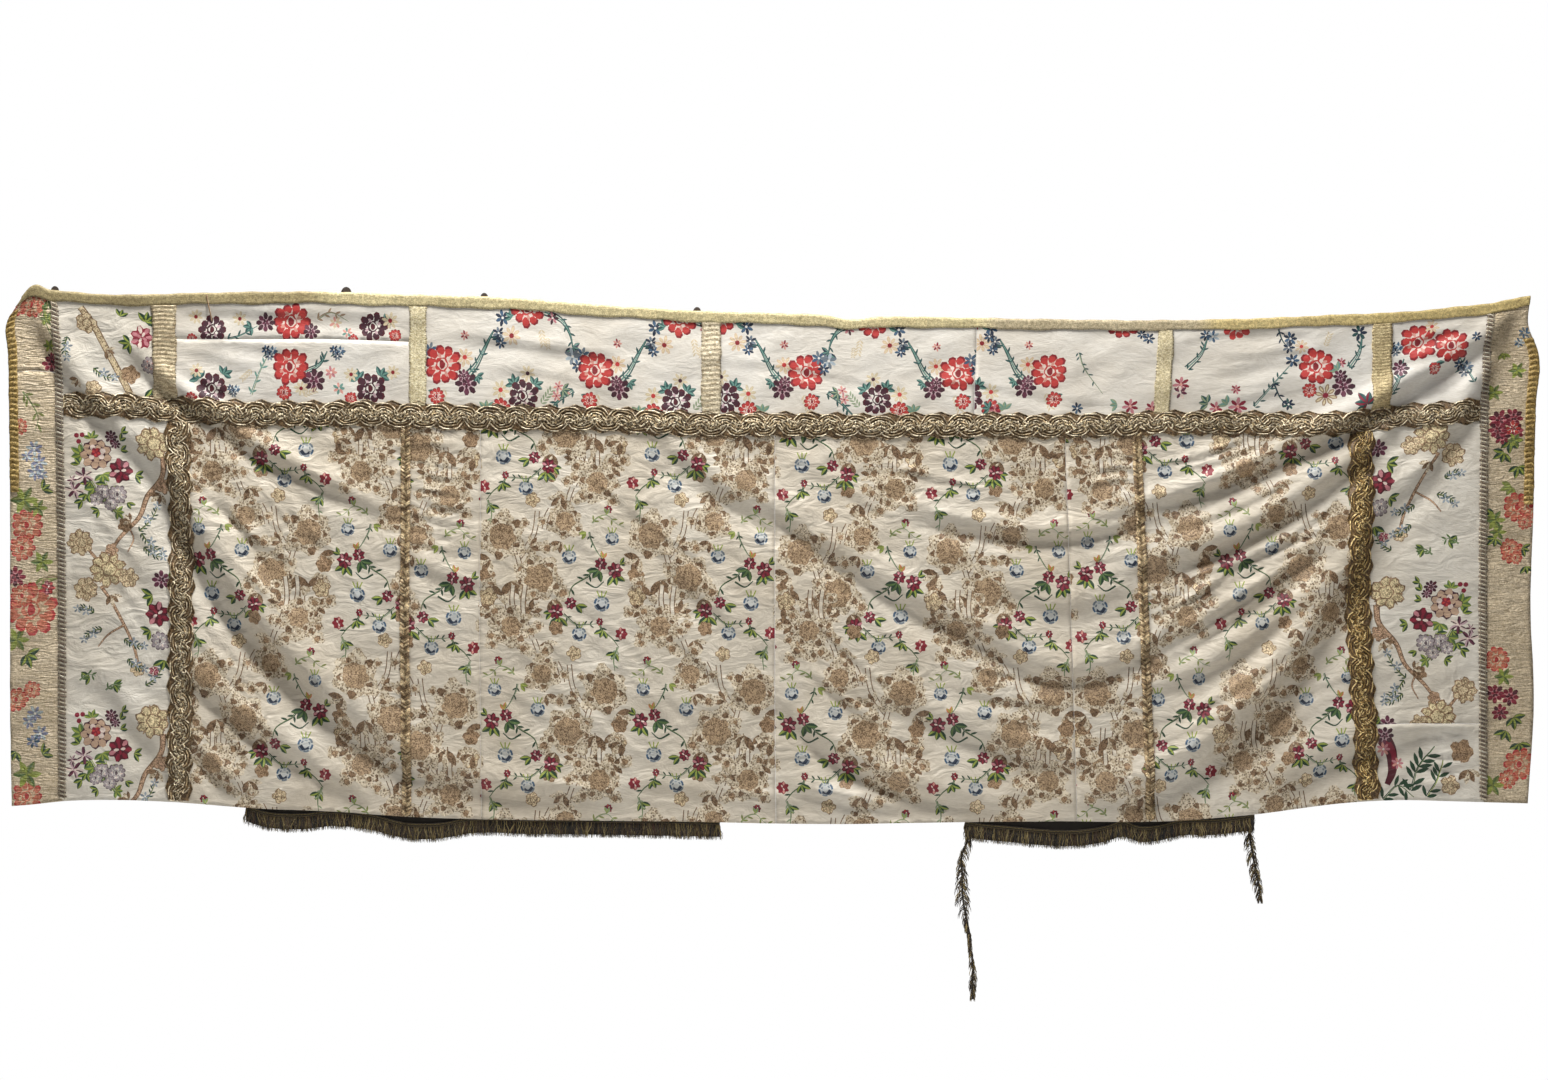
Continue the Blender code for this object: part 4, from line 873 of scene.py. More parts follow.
def frontlet_pieces():
    """Motifs of the frontlet panels that show only parts of a repeat."""
    dark_teal = ("teal_deep", "teal")
    upper = leaf_spray(250, 326, 2.8, 4, 9, dark_teal) + leaf_spray(384, 322, -0.4, 4, 9, dark_teal)
    upper += leafy_stem([(316, 318), (330, 312), (347, 320)], 2.4, ("tan", "sage"), 5, 6)
    upper += leafy_stem([(226, 338), (240, 334), (256, 326)], 2.4, leaves=5, size=6)
    upper += lone(purple_peony, (211, 329), (372, 326)) + peony(290, 321, 17)
    upper += carnation(264, 322, 9) + carnation(310, 331, 8) + star(334, 322, 6, ("tan_pale", "coral_pale"))
    upper += lone(daisy, (389, 320, 8), (238, 318, 7), (194, 316, 7))
    upper += lone(red_bud, (394, 335), (190, 338, 5), (352, 339, 5))
    upper += star(346, 332, 5, ("coral_pale", "teal"))
    lower = leafy_stem([(300, 372), (318, 364), (326, 352)], 4.4, leaves=5, size=7, tip=0.4)
    lower += leafy_stem([(250, 392), (258, 372), (268, 354)], 3.0, ("teal", "sage"), 5, 6)
    lower += leaf_spray(198, 378, -2.2, 4, 11, dark_teal) + leaf_spray(222, 374, -0.8, 4, 10, dark_teal)
    lower += leaf_spray(358, 378, -2.2, 4, 10, dark_teal) + leaf_spray(380, 376, -0.8, 4, 11, dark_teal)
    lower += lone(blue_cluster, (268, 352, 6), (336, 352, 6), (232, 390, 5))
    lower += lone(purple_peony, (211, 388, 14), (370, 388, 14)) + peony(289, 366, 17) + red_bud(283, 392, 7)
    lower += carnation(313, 380, 11) + lone(daisy, (300, 388, 7), (195, 370, 7), (350, 374, 7), (392, 372, 7))
    lower += lone(red_bud, (190, 398), (350, 398, 6)) + plume(300, 396, -0.4, 16) + plume(252, 368, 2.4, 16)
    lower += star(330, 372, 6, ("coral_pale", "rose")) + star(338, 388, 6, ("teal", "coral_pale"))
    middle = leafy_stem([(1079, 352), (1085, 368), (1105, 395)], 1.2, ("teal_deep", "sage"), 6, 5)
    middle += star(1078, 408, 6, ("blue", "navy")) + star(990, 336, 6) + star(1150, 338, 6)
    middle += star(1143, 334, 5)
    middle += lone(pink_star, (1131, 406, 8), (1153, 408, 7), (995, 410, 6)) + peony(1124, 322, 15)
    middle += leaf_spray(990, 408, 3.6, 4, 9, dark_teal) + leaf_spray(1118, 404, 3.0, 3, 9, ("sage", "teal"))
    right = leafy_stem([(1189, 369), (1202, 354), (1208, 338)], 4.4, leaves=5, size=6, tip=0.3)
    right += leafy_stem([(1256, 407), (1275, 383), (1291, 364)], 3.0, leaves=8, size=6, tip=0.4)
    right += leafy_stem([(1275, 383), (1282, 398), (1292, 408)], 1.6, ("navy", "teal_deep"), 5, 6)
    right += leafy_stem([(1351, 367), (1361, 352), (1364, 336)], 4.4, leaves=5, size=6, tip=0.3)
    right += leafy_stem([(1280, 328), (1284, 340), (1290, 348)], 1.4, ("navy", "teal_deep"), 3, 6)
    right += star(1207, 335, 6, ("navy", "blue")) + star(1214, 336, 6.5, ("blue_pale", "blue"), 0.4)
    right += star(1292, 338, 7) + star(1290, 347, 6, ("navy", "blue_grey"))
    right += star(1294, 360, 7, ("blue", "navy"))
    right += star(1361, 332, 8, ("navy", "teal_deep")) + star(1290, 404, 6, ("navy", "teal_deep"))
    right += lone(pink_star, (1217, 408, 7), (1239, 406, 9), (1182, 384, 8), (1343, 362, 5), (1237, 389, 5))
    right += leaf_spray(1209, 403, 3.6, 4, 11, ("teal_deep", "sage"))
    right += leaf_spray(1229, 404, 3.8, 3, 10, ("teal", "sage"))
    right += star(1181, 392, 7, ("plum_mid", "blush"), 0.2, 7)
    right += leaf_spray(1368, 404, -2.2, 5, 15, ("teal_deep", "crimson"))
    right += peony(1238, 324, 14, "coral", "coral", "coral_pale") + daisy(1303, 346, 7, "peach", "coral")
    right += plume(1326, 348, -1.2, 16) + leaf_spray(1340, 370, -2.4, 3, 10, ("teal", "sage"))
    right += daisy(1327, 395, 11, "tan", "crimson") + red_bud(1311, 390, 7) + peony(1318, 366, 17)
    right += carnation(1345, 386, 11) + carnation(1342, 376, 7)
    last = leafy_stem([(1392, 394), (1400, 378), (1405, 358)], 3.6, leaves=6, size=7, tip=0.4)
    last += leafy_stem([(1476, 382), (1468, 366), (1460, 352)], 2.4, leaves=5, size=6)
    last += blue_cluster(1466, 367, 7) + blue_cluster(1397, 348, 6)
    last += leaf_spray(1436, 362, 1.2, 4, 10, dark_teal)
    last += peony(1420, 342, 17) + peony(1453, 345, 16, turn=0.6) + carnation(1402, 368, 8)
    last += red_bud(1436, 368)
    last += daisy(1434, 326, 7, "peach", "coral") + star(1478, 336, 5)
    return {
        "frontlet_b_upper": upper,
        "frontlet_b_lower": lower,
        "frontlet_e": middle,
        "frontlet_f": right,
        "frontlet_g": last,
    }


def salmon_flower(x, y, r, turn=0.0):
    return peony(x, y, r, "salmon", "coral", "peach", "peach", turn)


def edge_pieces():
    """Motifs of the return panels at the two sides."""
    upper = lone(salmon_flower, (30, 304, 12), (14, 307, 8), (38, 296, 8))
    upper += leaf_spray(45, 300, 0.6, 4, 13, ("green", "olive")) + acanthus(45, 318, 8) + acanthus(47, 345, 7)
    upper += leafy_stem([(40, 306), (44, 322), (50, 336)], 1.4, ("olive", "green"), 3, 6)
    upper += carnation(49, 363, 9, ("crimson", "crimson_deep", "rose"))
    upper += carnation(49, 357, 5, ("crimson", "plum", "rose"))
    lower = leafy_stem([(20, 392), (27, 400), (36, 416), (33, 430)], 1.6, ("olive", "green"), 5, 9)
    lower += lone(
        salmon_flower, (25, 525, 15), (20, 548, 12), (14, 700, 11), (25, 797, 14), (17, 426, 8), (30, 690, 8)
    )
    lower += lone(
        acanthus, (22, 500, 15), (15, 640, 13), (25, 775, 15), (40, 562, 12), (36, 508, 10), (32, 590, 10)
    )
    for x, y, r in (
        (32, 448, 8), (25, 456, 6), (37, 462, 8), (33, 472, 8), (40, 474, 6), (33, 714, 8), (27, 722, 7),
    ):
        lower += star(x, y, r, ("lilac", "blue_pale"), x, 7)
    lower += star(38, 734, 8, ("lilac", "blue_pale")) + star(31, 742, 7, ("blue", "lilac"))
    lower += leaf_spray(42, 578, 1.2, 4, 15, ("olive", "gold"))
    lower += carnation(13, 577, 10, ("crimson", "crimson_deep", "rose"))
    lower += salmon_flower(30, 610, 24, 0.3) + salmon_flower(20, 596, 11)
    lower += small_rose(46, 588, 7, "coral", "crimson")
    lower += lone(
        leaf_spray, (24, 655, 0.8, 4, 15), (40, 490, -0.6, 3, 12),
        (40, 755, -0.6, 3, 12), (14, 752, 2.0, 3, 12)
    )
    right = star(1527, 332, 6, ("blue", "blue_grey")) + star(1522, 342, 5, ("blue_pale", "blue"))
    right += acanthus(1520, 370, 9) + acanthus(1497, 392, 9)
    right += leaf_spray(1506, 352, 1.4, 3, 9, ("olive", "lime"))
    crimson = ("crimson", "crimson_deep", "rose")
    right += leaf_spray(1512, 440, 1.2, 4, 14) + leaf_spray(1506, 452, 2.2, 4, 13)
    right += leaf_spray(1520, 466, 1.4, 4, 13)
    right += leaf_spray(1513, 486, 2.4, 4, 12, ("olive", "lime")) + leaf_spray(1515, 718, 1.0, 4, 13)
    right += leaf_spray(1508, 731, 2.0, 3, 13) + leaf_spray(1521, 744, 1.4, 4, 13)
    for x, y, r in (
        (1502, 420, 10), (1516, 417, 9), (1504, 436, 8), (1518, 431, 8), (1497, 694, 9), (1512, 697, 9),
    ):
        right += carnation(x, y, r, crimson, x)
    right += carnation(1502, 713, 8, crimson) + carnation(1515, 428, 7, ("coral", "crimson", "blush"))
    right += lone(
        salmon_flower, (1520, 507, 14), (1514, 552, 11), (1499, 660, 12), (1522, 765, 15), (1510, 780, 9)
    )
    right += salmon_flower(1534, 505, 14) + carnation(1500, 430, 9, crimson) + acanthus(1517, 440, 8)
    right += lone(salmon_flower, (1512, 548, 9), (1518, 558, 6), (1527, 522, 7))
    right += lone(
        leaf_spray, (1524, 548, 0.4, 3, 10), (1528, 566, 1.4, 3, 10),
        (1496, 514, 2.6, 4, 11), (1497, 538, 2.0, 4, 11)
    )
    right += lone(acanthus, (1497, 520, 11), (1506, 677, 10), (1495, 786, 12), (1500, 532, 9))
    return {"edge_left_upper": upper, "edge_left_lower": lower, "edge_right": right}


def side_pieces():
    """Motifs of the orphrey silk's smaller pieces."""
    branch = [(82, 308), (93, 325), (102, 344), (113, 366), (127, 392)]
    shapes = stem(branch, 7, "tan_deep", LAME) + stem(branch, 5, "tan_pale", LAME)
    shapes += lone(tan_flower, (84, 322, 11, "tan_pale"), (128, 374, 10, "tan"), (92, 388, 9, "tan_pale"))
    shapes += tan_fan(104, 350, 0.6, 10) + tan_fan(76, 378, 2.2, 10)
    shapes += leaf_spray(144, 322, -1.0, 4, 13) + leaf_spray(128, 342, 2.8, 4, 12)
    shapes += leaf_spray(150, 388, 1.4, 3, 12)
    shapes += small_rose(140, 337, 11, "rose", "crimson", "blush")
    shapes += peony(148, 365, 8, "mauve_grey", "plum_grey")
    shapes += blue_sprig(92, 368, 0.4, 24) + blue_sprig(66, 336, 1.6, 22) + leaf_spray(118, 316, -1.2, 3, 9)
    foot = leafy_stem([(1412, 792), (1420, 768), (1438, 746)], 3.0, ("green_deep", "green"), 8, 14, 0.8)
    foot += leafy_stem([(1384, 800), (1400, 786), (1416, 798)], 2.6, ("green_deep", "green"), 6, 12, 0.8)
    foot += leafy_stem([(1428, 798), (1440, 778), (1446, 760)], 2.6, ("green_deep", "lime"), 6, 12, 0.8)
    foot += stem([(1386, 738), (1394, 752), (1394, 772), (1388, 786)], 15, "crimson_deep", tip=0.4)
    foot += stem([(1388, 741), (1396, 754), (1395, 770)], 8, "crimson", tip=0.4) + carnation(1386, 736, 9)
    foot += lone(star, (1386, 750, 7, ("rose", "coral_pale")), (1400, 764, 6, ("rose", "coral_pale")))
    foot += lone(tan_flower, (1464, 752, 13, "tan"), (1452, 786, 11, "tan_pale"))
    foot += tan_fan(1470, 770, 1.4, 16)
    return {"frontlet_a": shapes, "orphrey_foot": foot}


def stamp(shapes, x, y, mirrored):
    """Outlines in millimetres of flat cloth, from shapes around (x, y)."""
    middle = cloth_place(x, y)
    placed = []
    for outline, colour, weave in shapes:
        points = np.array(outline) * UNIT
        if mirrored:
            points[:, 0] *= -1
        placed.append(((points + middle) * 1000, colour, weave))
    return placed


def stamp_each(shapes):
    """Outlines in millimetres of flat cloth, from shapes at their own places on the hanging cloth."""
    placed = []
    for outline, colour, weave in shapes:
        points = np.array(outline)
        middle = points.mean(axis=0)
        placed.append((((points - middle) * UNIT + cloth_place(*middle)) * 1000, colour, weave))
    return placed


def patterns():
    """The motifs of every panel, in the order they are laid down."""
    found = {row[0]: [] for row in PANELS}
    motif = field_motif()
    for name, places, mirrored in FIELD_LAYOUT:
        left, right = BOUNDS[name][:2]
        for x, y in places:
            for k in range(-3, 4):
                at = cloth_place(x + k * REPEAT_WIDTH, y)[0]
                if left - MOTIF_REACH < at < right + MOTIF_REACH:
                    found[name] += stamp(motif, x + k * REPEAT_WIDTH, y, mirrored)
    motif = frontlet_motif()
    for name, places, mirrored in FRONTLET_LAYOUT:
        for x, y in places:
            found[name] += stamp(motif, x, y, mirrored)
    motif = orphrey_motif()
    for name, x, ys, mirrored in (
        ("orphrey_left", 94, (174, 454, 734), False),
        ("orphrey_right", 1448, (324, 604), True),
    ):
        for y in ys:
            found[name] += stamp(motif, x, y, mirrored)
    for group in (frontlet_pieces(), edge_pieces(), side_pieces()):
        for name, shapes in group.items():
            found[name] += stamp_each(shapes)
    return found


PANELS = (
    ("frontlet_a", EDGE_L, FRONTLET_SEAMS[0], 0.0, LACE_CENTRE, "orphrey"),
    ("frontlet_b_upper", FRONTLET_SEAMS[0], FRONTLET_SEAMS[1], 0.0, SPLIT_SEAM, "frontlet"),
    ("frontlet_b_lower", FRONTLET_SEAMS[0], FRONTLET_SEAMS[1], SPLIT_SEAM, LACE_CENTRE, "frontlet"),
    ("frontlet_c", FRONTLET_SEAMS[1], FRONTLET_SEAMS[2], 0.0, LACE_CENTRE, "frontlet"),
    ("frontlet_d", FRONTLET_SEAMS[2], FRONTLET_SEAMS[3], 0.0, LACE_CENTRE, "frontlet"),
    ("frontlet_e", FRONTLET_SEAMS[3], FRONTLET_SEAMS[4], 0.0, LACE_CENTRE, "frontlet"),
    ("frontlet_f", FRONTLET_SEAMS[4], FRONTLET_SEAMS[5], 0.0, LACE_CENTRE, "frontlet"),
    ("frontlet_g", FRONTLET_SEAMS[5], EDGE_R, 0.0, LACE_CENTRE, "frontlet"),
    ("orphrey_left", EDGE_L, FIELD_SEAMS[0], LACE_CENTRE, DROP, "orphrey"),
    ("field_a", FIELD_SEAMS[0], FIELD_SEAMS[1], LACE_CENTRE, DROP, "field"),
    ("field_b", FIELD_SEAMS[1], FIELD_SEAMS[2], LACE_CENTRE, DROP, "field"),
    ("field_c", FIELD_SEAMS[2], FIELD_SEAMS[3], LACE_CENTRE, DROP, "field"),
    ("field_d", FIELD_SEAMS[3], FIELD_SEAMS[4], LACE_CENTRE, DROP, "field"),
    ("field_e", FIELD_SEAMS[4], FIELD_SEAMS[5], LACE_CENTRE, DROP, "field"),
    ("field_f", FIELD_SEAMS[5], FIELD_SEAMS[6], LACE_CENTRE, DROP, "field"),
    ("orphrey_right", FIELD_SEAMS[6], EDGE_R, LACE_CENTRE, FOOT_SEAM, "orphrey"),
    ("orphrey_foot", FIELD_SEAMS[6], EDGE_R, FOOT_SEAM, DROP, "orphrey"),
    ("edge_left_upper", 0.0, EDGE_L, 0.0, EDGE_SEAM, "edge"),
    ("edge_left_lower", 0.0, EDGE_L, EDGE_SEAM, DROP, "edge"),
    ("edge_right", EDGE_R, WIDTH, 0.0, DROP, "edge"),
)
BOUNDS = {row[0]: row[1:5] for row in PANELS}


# Materials


def new_material(name):
    made = bpy.data.materials.new(name)
    made.use_nodes = True
    tree = made.node_tree
    return made, tree, tree.nodes["Principled BSDF"]


def add_node(tree, kind, **inputs):
    node = tree.nodes.new(kind)
    for name, value in inputs.items():
        node.inputs[name.replace("_", " ")].default_value = value
    return node


def noise(tree, scale, detail=2.0, distortion=0.0, stretch=(1, 1, 1)):
    """A noise texture on the object's own coordinates, its scale per metre."""
    place = tree.nodes.new("ShaderNodeTexCoord")
    mapping = add_node(tree, "ShaderNodeMapping", Scale=stretch)
    made = add_node(tree, "ShaderNodeTexNoise", Scale=scale, Detail=detail, Distortion=distortion)
    tree.links.new(place.outputs["Object"], mapping.inputs["Vector"])
    tree.links.new(mapping.outputs["Vector"], made.inputs["Vector"])
    return made.outputs["Fac"]


def ramp(tree, source, low, high, dark, light):
    """Colours from dark to light as the source goes from low to high."""
    made = tree.nodes.new("ShaderNodeValToRGB")
    first, last = made.color_ramp.elements
    first.position, first.color = low, (*dark, 1)
    last.position, last.color = high, (*light, 1)
    tree.links.new(source, made.inputs["Fac"])
    return made.outputs["Color"]


def multiply(tree, first, second):
    made = tree.nodes.new("ShaderNodeMix")
    made.data_type = "RGBA"
    made.blend_type = "MULTIPLY"
    made.inputs["Factor"].default_value = 1.0
    tree.links.new(first, made.inputs["A"])
    tree.links.new(second, made.inputs["B"])
    return made.outputs["Result"]


def bump(tree, shader, source, distance, strength=0.6):
    """Adds relief to a material, over any it already has."""
    node = add_node(tree, "ShaderNodeBump", Strength=strength, Distance=distance)
    tree.links.new(source, node.inputs["Height"])
    if shader.inputs["Normal"].is_linked:
        tree.links.new(shader.inputs["Normal"].links[0].from_socket, node.inputs["Normal"])
    tree.links.new(node.outputs["Normal"], shader.inputs["Normal"])


def vertex_colour(tree):
    made = tree.nodes.new("ShaderNodeVertexColor")
    made.layer_name = "Weave"
    return made.outputs["Color"]


def silk_material(name, roughness, sheen, fade=0.0, crumple=0.52):
    """Woven silk: its threads' colours from the mesh, with age, slubs and a fine rib."""
    made, tree, shader = new_material(name)
    age = ramp(tree, noise(tree, 5, 4), 0.30, 0.72, (0.84, 0.80, 0.74), (1.0, 1.0, 1.0))
    slub = ramp(tree, noise(tree, 240, 3, 0.3, (0.35, 1, 4)), 0.32, 0.66, (0.86, 0.84, 0.81), (1.0, 1.0, 1.0))
    colour = multiply(tree, multiply(tree, vertex_colour(tree), age), slub)
    if fade:
        mix = tree.nodes.new("ShaderNodeMix")
        mix.data_type = "RGBA"
        mix.inputs["Factor"].default_value = fade
        mix.inputs["B"].default_value = (*linear("#cfc3ae"), 1)
        tree.links.new(colour, mix.inputs["A"])
        colour = mix.outputs["Result"]
    tree.links.new(colour, shader.inputs["Base Color"])
    shader.inputs["Roughness"].default_value = roughness
    shader.inputs["Sheen Weight"].default_value = sheen
    shader.inputs["Sheen Roughness"].default_value = 0.4
    bump(tree, shader, noise(tree, 520, 3, 0.2, (0.3, 1, 2.2)), 0.0007, 0.55)
    bump(tree, shader, noise(tree, 24, 4, 1.4, (0.7, 1, 1.5)), 0.010, crumple)
    return made


def metal_material(name, dark, light, scale, metallic, roughness, worms=1.6):
    """Metal thread or lame: worm-like lines of tarnish over bright thread, coloured by the mesh."""
    made, tree, shader = new_material(name)
    lines = noise(tree, scale, 2, worms)
    speckle = ramp(tree, lines, 0.40, 0.58, dark, light)
    patches = ramp(tree, noise(tree, 9, 3), 0.30, 0.70, (0.80, 0.78, 0.74), (1.0, 1.0, 1.0))
    colour = multiply(tree, multiply(tree, vertex_colour(tree), speckle), patches)
    tree.links.new(colour, shader.inputs["Base Color"])
    shader.inputs["Roughness"].default_value = roughness
    shader.inputs["Metallic"].default_value = metallic
    bump(tree, shader, lines, 0.0016, 0.7)
    return made


def dotted_material(name):
    """Cream silk with small brown dots of metal thread."""
    made, tree, shader = new_material(name)
    place = tree.nodes.new("ShaderNodeTexCoord")
    cells = add_node(tree, "ShaderNodeTexVoronoi", Scale=235.0)
    tree.links.new(place.outputs["Object"], cells.inputs["Vector"])
    dots = ramp(tree, cells.outputs["Distance"], 0.22, 0.46, (0.26, 0.20, 0.15), (1.0, 1.0, 1.0))
    worn = ramp(tree, noise(tree, 130, 3, 1.5), 0.42, 0.56, (0.62, 0.55, 0.46), (1.06, 1.05, 1.03))
    colour = multiply(tree, multiply(tree, vertex_colour(tree), dots), worn)
    tree.links.new(colour, shader.inputs["Base Color"])
    shader.inputs["Roughness"].default_value = 0.55
    bump(tree, shader, cells.outputs["Distance"], 0.0010, 0.5)
    return made


def thread_material(name, roughness=0.75, sheen=0.2):
    made, tree, shader = new_material(name)
    twist = ramp(tree, noise(tree, 700, 2, 0.5), 0.30, 0.70, (0.62, 0.60, 0.57), (1.0, 1.0, 1.0))
    tree.links.new(multiply(tree, vertex_colour(tree), twist), shader.inputs["Base Color"])
    shader.inputs["Roughness"].default_value = roughness
    shader.inputs["Sheen Weight"].default_value = sheen
    bump(tree, shader, noise(tree, 900, 2, 0.4), 0.0005, 0.6)
    return made


# Meshes


def mesh_object(name, points, triangles, materials, shades, weave=None):
    """An object of triangles, each with its own colour."""
    mesh = bpy.data.meshes.new(name)
    points, triangles = np.asarray(points, np.float32), np.asarray(triangles, np.int32)
    count = len(triangles)
    mesh.vertices.add(len(points))
    mesh.vertices.foreach_set("co", points.ravel())
    mesh.loops.add(count * 3)
    mesh.loops.foreach_set("vertex_index", triangles.ravel())
    mesh.polygons.add(count)
    mesh.polygons.foreach_set("loop_start", np.arange(0, count * 3, 3, dtype=np.int32))
    mesh.polygons.foreach_set("loop_total", np.full(count, 3, np.int32))
    if weave is not None:
        mesh.polygons.foreach_set("material_index", np.asarray(weave, np.int32))
    mesh.polygons.foreach_set("use_smooth", np.ones(count, bool))
    mesh.update(calc_edges=True)
    mesh.validate()
    layer = mesh.color_attributes.new("Weave", "FLOAT_COLOR", "CORNER")
    colours = np.ones((count, 4), np.float32)
    colours[:, :3] = shades
    if len(mesh.loops) == count * 3:
        layer.data.foreach_set("color", np.repeat(colours, 3, axis=0).ravel())
    for made in materials:
        mesh.materials.append(made)
    obj = bpy.data.objects.new(name, mesh)
    bpy.context.scene.collection.objects.link(obj)
    return obj


def thicken(obj, thickness):
    """Gives an open sheet its thickness, away from its front."""
    solid = obj.modifiers.new("Thickness", "SOLIDIFY")
    solid.thickness = thickness
    solid.offset = -1
    solid.use_rim = True


def owners(middles, outlines):
    """For each place, the number of the last outline that holds it, counted from 1, or 0."""
    order = np.argsort(middles[:, 0])
    across = middles[order, 0]
    found = np.zeros(len(middles), int)
    for number, outline in enumerate(outlines, 1):
        start, stop = np.searchsorted(across, (outline[:, 0].min(), outline[:, 0].max()))
        near = order[start:stop]
        near = near[(middles[near, 1] > outline[:, 1].min()) & (middles[near, 1] < outline[:, 1].max())]
        x, y = middles[near, :1], middles[near, 1:]
        after = np.roll(outline, -1, axis=0)
        crosses = (outline[:, 1] > y) != (after[:, 1] > y)
        rise = np.where(after[:, 1] == outline[:, 1], 1e-9, after[:, 1] - outline[:, 1])
        at = outline[:, 0] + (y - outline[:, 1]) * (after[:, 0] - outline[:, 0]) / rise
        inside = (crosses & (x < at)).sum(axis=1) % 2 == 1
        found[near[inside]] = number
    return found


def panel_mesh(name, left, right, upper, lower, ground, shapes, materials):
    """A panel cut along its motifs' outlines, hung in its folds."""
    chance = np.random.default_rng(len(name) * 7 + int(left * 1000))
    inset_l, inset_r = SEAM_GAP / 2 * (left > 0), SEAM_GAP / 2 * (right < WIDTH)
    inset_t, inset_b = SEAM_GAP / 2 * (upper > 0), SEAM_GAP / 2 * (lower < DROP)
    left, right, upper, lower = left + inset_l, right - inset_r, upper + inset_t, lower - inset_b
    across = max(2, round((right - left) / GRID_PITCH))
    down = max(2, round((lower - upper) / GRID_PITCH))
    us, vs = np.linspace(left, right, across + 1), np.linspace(upper, lower, down + 1)
    rim = [(u, upper) for u in us[:-1]] + [(right, v) for v in vs[:-1]]
    rim += [(u, lower) for u in us[:0:-1]] + [(left, v) for v in vs[:0:-1]]
    inner = [(u, v) for u in us[1:-1] for v in vs[1:-1]]
    wobble = chance.uniform(-0.22, 0.22, (len(inner), 2)) * GRID_PITCH
    places = [Vector((u * 1000, v * 1000)) for u, v in rim]
    places += [Vector(((u + du) * 1000, (v + dv) * 1000)) for (u, v), (du, dv) in zip(inner, wobble)]
    edges = [(k, (k + 1) % len(rim)) for k in range(len(rim))]
    low, high = np.array([left, upper]) * 1000, np.array([right, lower]) * 1000
    drawn = []
    for outline, colour, weave in shapes:
        if (outline.max(axis=0) < low).any() or (outline.min(axis=0) > high).any():
            continue
        first, count = len(places), len(outline)
        places += [Vector(p) for p in outline]
        edges += [(first + k, first + (k + 1) % count) for k in range(count)]
        drawn.append((outline, colour, weave))
    found = delaunay_2d_cdt(places, edges, [], 0, 0.01)
    flat = np.array([tuple(p) for p in found[0]])
    triangles = np.array(found[2])[:, ::-1]
    middles = flat[triangles].mean(axis=1)
    triangles = triangles[((middles > low) & (middles < high)).all(axis=1)]
    owner = owners(flat[triangles].mean(axis=1), [row[0] for row in drawn])
    colours = [ground] + [row[1] for row in drawn]
    weaves = [SILK] + [row[2] for row in drawn]
    flat = flat / 1000
    used = np.unique(triangles)
    renumber = np.zeros(len(flat), int)
    renumber[used] = np.arange(len(used))
    flat, triangles = flat[used], renumber[triangles]
    rim, behind, back, own = plain_back(flat, triangles, places[len(rim) : len(rim) + len(inner)])
    both = np.vstack([flat, behind])
    relief = rim_relief(name, both) - np.repeat([0, CLOTH_THICK], [len(flat), len(behind)])
    whole = np.clip(both, 0, (WIDTH, DROP))
    points = hang(whole[:, 0], whole[:, 1], relief)
    first, second = rim[:, 0], rim[:, 1]
    below_first, below_second = own[first] + len(flat), own[second] + len(flat)
    upper_half = np.stack([second, first, below_first], axis=1)
    sides = np.vstack([upper_half, np.stack([second, below_first, below_second], axis=1)])
    table = np.array([linear(SHADES[c]) for c in colours])
    shades = table[owner] * chance.uniform(0.94, 1.05, (len(owner), 1)) ** (owner > 0)[:, None]
    shades = np.vstack([shades, np.tile(table[0], (len(sides) + len(back), 1))])
    plain = [np.full(len(sides), SILK), np.full(len(back), len(materials) - 1)]
    weave = np.concatenate([np.array(weaves)[owner], *plain])
    faces = np.vstack([triangles, sides, back + len(flat)])
    return mesh_object("silk_" + name, points, faces, materials, shades, weave)


def plain_back(flat, triangles, inner):
    """A flat sheet's rim edges, and a plain mesh with the same rim for its wrong side."""
    pairs = np.vstack([triangles[:, [0, 1]], triangles[:, [1, 2]], triangles[:, [2, 0]]])
    ahead = pairs[:, 0] * len(flat) + pairs[:, 1]
    rim = pairs[~np.isin(ahead, pairs[:, 1] * len(flat) + pairs[:, 0])]
    on_rim = np.unique(rim)
    places = [Vector(p) for p in flat[on_rim] * 1000] + list(inner)
    found = delaunay_2d_cdt(places, np.searchsorted(on_rim, rim).tolist(), [], 1, 0.001)
    own = np.zeros(len(flat), int)
    for number, sources in enumerate(found[3]):
        for source in sources:
            if source < len(on_rim):
                own[on_rim[source]] = number
    return rim, np.array([tuple(p) for p in found[0]]) / 1000, np.array(found[2]), own


def rim_relief(name, flat):
    """The cloth dips at its seams and has a narrow roll along its hem."""
    left, right, upper, lower = BOUNDS[name]
    relief = np.zeros(len(flat))
    for line, axis in ((left, 0), (right, 0), (upper, 1), (lower, 1)):
        if line in (0.0, WIDTH, DROP):
            continue
        relief -= SEAM_DIP * np.exp(-(((flat[:, axis] - line) / SEAM_SPREAD) ** 2))
    if lower == DROP:
        relief += HEM_ROLL * np.exp(-(((flat[:, 1] - DROP + HEM_INSET) / HEM_SPREAD) ** 2))
    return relief


